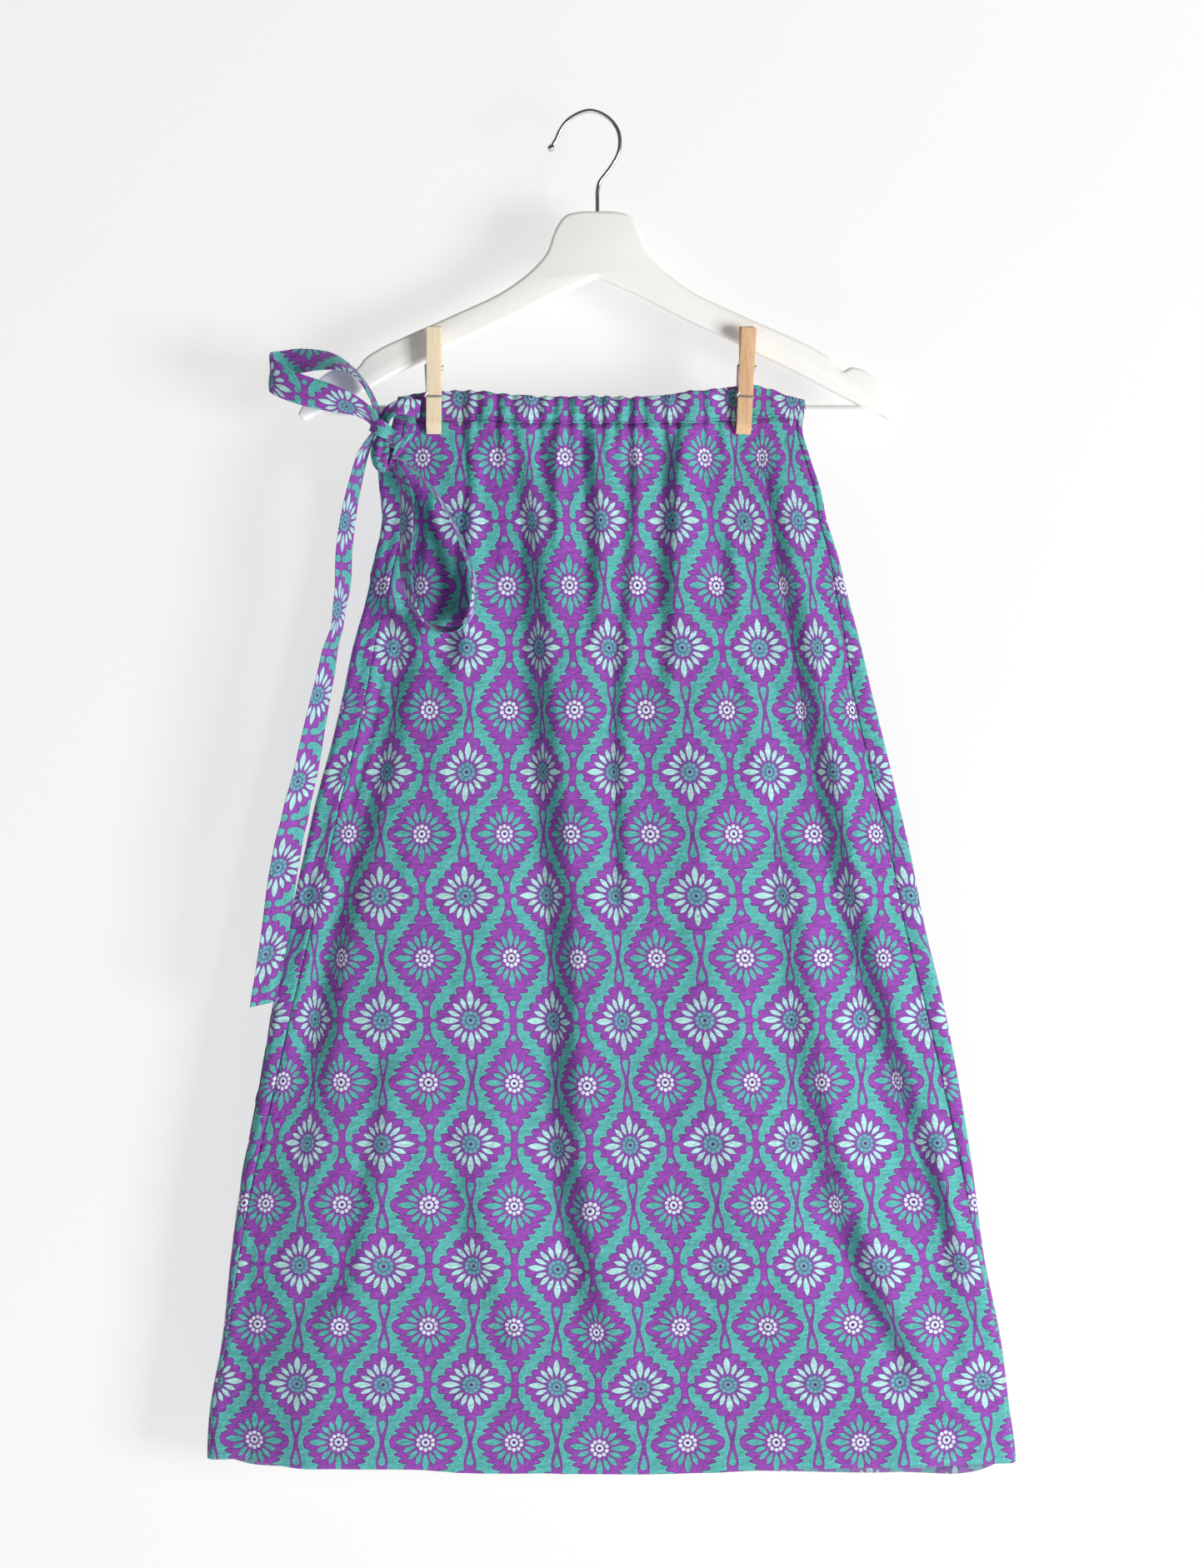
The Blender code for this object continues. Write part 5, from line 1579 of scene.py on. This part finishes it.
PAINT = white_paint()
HOOK_STEEL = bright_steel("plated hook wire", 0.12, (0.72, 0.73, 0.75))
SPRING_STEEL = bright_steel("plated spring wire", 0.24, (0.62, 0.62, 0.62))
LEFT_WOOD = peg_wood("pale peg wood", linear(248, 234, 208), linear(228, 204, 168))
RIGHT_WOOD = peg_wood("honey peg wood", linear(236, 202, 166), linear(206, 160, 116))
THREAD = sewing_thread()
print("materials:", len(bpy.data.materials))

# %% Give the hard pieces their finishes
for piece, material in (
    (hanger_board, PAINT), (hanger_rail, PAINT), (hook_wire, HOOK_STEEL),
    (waist_stitches["front"], THREAD), (waist_stitches["back"], THREAD),
):
    piece.data.materials.append(material)
for title, wood in (("left", LEFT_WOOD), ("right", RIGHT_WOOD)):
    for piece in pegs[title][:2]:
        piece.data.materials.append(wood)
        piece.data.set_sharp_from_angle(angle=math.radians(40))
    pegs[title][2].data.materials.append(SPRING_STEEL)
hanger_board.data.set_sharp_from_angle(angle=math.radians(50))

# %% [markdown]
# ## Which solid each piece stands for
# Each fine piece takes the place of a plain solid of the model and moves with its body.

# %% Tie the pieces to the model
stands_for = [
    (front, "skirt_front", "printed_cloth"), (back, "skirt_back", "printed_cloth"),
    (front_casing, "waistband_front", "printed_cloth"), (back_casing, "waistband_back", "printed_cloth"),
    (tie_knot, "tie_knot", "printed_cloth"), (hanger_board, "hanger_body", "white_paint"),
    (hanger_rail, "hanger_bar", "white_paint"), (hook_wire, "hanger_hook", "hook_steel"),
]
stands_for += [(row[0], title, "printed_cloth") for title, row in strips.items()]
for title, row in pegs.items():
    wood = title + "_peg_wood"
    for piece, part, slot in zip(row, ("_front", "_rear", "_spring"), (wood, wood, "spring_steel")):
        stands_for.append((piece, "peg_" + title + part, slot))
for piece, node, slot in stands_for:
    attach(piece, "root")
    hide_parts(node)
for piece in waist_stitches.values():
    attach(piece, "root")

for title, (piece, length, width) in strips.items():
    width * MM
    length * MM

# %% [markdown]
# ## Floor, backdrop and light
# The skirt hangs before a white wall that curves into a pale floor. One large soft light from
# the right front models the folds. A weak one from below lifts the shade, and one behind is
# there for looking at the back.


# %% Stage and lights
WALL_GLOW = 0.65            # the wall's own light, so that it stays white while the folds have shade
WALL_SHADES = ((0.30, 0.30, 0.30, 1.0), (0.32, 0.32, 0.318, 1.0))
WALL_Y, FLOOR_Z, WALL_ROUND, WALL_HALF = 0.05, -1.75, 0.45, 3.5
WALL_TOP, FLOOR_FRONT = 1.6, -3.5
LIGHTS = (              # name, place, aim, size, watts and colour
    ("window", (2.3, -2.1, -0.8), (0.0, 0.0, -0.5), 1.1, 92.0, (1.0, 0.99, 0.97)),
    ("low fill", (-0.3, -1.5, -1.6), (0.0, 0.0, -0.95), 0.9, 2.5, (0.97, 0.98, 1.0)),
    ("behind", (-1.2, 2.4, 0.2), (0.0, 0.0, -0.5), 1.6, 24.0, (1.0, 1.0, 1.0)),
)
SKY_LIGHT, SKY_SEEN = 0.1, 0.8      # the surroundings as light, and how much brighter they look


def backdrop():
    """A sheet that runs down the wall, round a quarter circle and along the floor. It is clear from
    behind and to light from behind, so that the back can be looked at."""
    turn = np.linspace(0.0, math.pi / 2, 24)
    y = np.concatenate([[WALL_Y], WALL_Y - WALL_ROUND + WALL_ROUND * np.cos(turn), [FLOOR_FRONT]])
    z = np.concatenate([[WALL_TOP], FLOOR_Z + WALL_ROUND - WALL_ROUND * np.sin(turn), [FLOOR_Z]])
    points = np.stack([np.stack([0 * y + x, y, z], -1) for x in (-WALL_HALF, WALL_HALF)], axis=1)
    quads, _ = grid_quads(len(y), 2, False)
    piece = put_in_mesh("backdrop", points, quads.tolist())
    material, tree, shader = new_material("backdrop paint")
    cloud = noise(tree, object_place(tree), scale=3.0)
    plug(tree, mixed(tree, cloud, *WALL_SHADES), shader.inputs["Base Color"])
    shader.inputs["Roughness"].default_value = 0.95
    shader.inputs["Emission Color"].default_value = (1.0, 0.995, 0.985, 1.0)
    shader.inputs["Emission Strength"].default_value = WALL_GLOW
    clear = tree.nodes.new("ShaderNodeBsdfTransparent")
    facing = tree.nodes.new("ShaderNodeNewGeometry")
    ray = tree.nodes.new("ShaderNodeLightPath")
    choose = tree.nodes.new("ShaderNodeMixShader")
    open_to = Reading(tree, facing.outputs["Backfacing"]).most(Reading(tree, ray.outputs["Is Shadow Ray"]))
    plug(tree, open_to, choose.inputs[0])
    tree.links.new(shader.outputs[0], choose.inputs[1])
    tree.links.new(clear.outputs[0], choose.inputs[2])
    tree.links.new(choose.outputs[0], tree.nodes["Material Output"].inputs[0])
    return finished(piece, material)


def soft_light(name, place, aim, size, watts, colour):
    """A square light that faces a point."""
    data = bpy.data.lights.new(name, "AREA")
    data.energy, data.size, data.color = watts, size, colour
    light = bpy.data.objects.new(name, data)
    light.location = place
    light.rotation_euler = (Vector(aim) - Vector(place)).to_track_quat("-Z", "Y").to_euler()
    bpy.context.scene.collection.objects.link(light)


wall = backdrop()
for light in LIGHTS:
    soft_light(*light)
world = bpy.data.worlds.new("studio")
world.use_nodes = True
sky = world.node_tree.nodes["Background"]
sky.inputs[0].default_value = (1.0, 1.0, 1.0, 1.0)
seen = Reading(world.node_tree, world.node_tree.nodes.new("ShaderNodeLightPath").outputs["Is Camera Ray"])
plug(world.node_tree, seen.math("MULTIPLY_ADD", SKY_SEEN, SKY_LIGHT), sky.inputs[1])
bpy.context.scene.world = world
bpy.context.scene.view_settings.view_transform = "Standard"
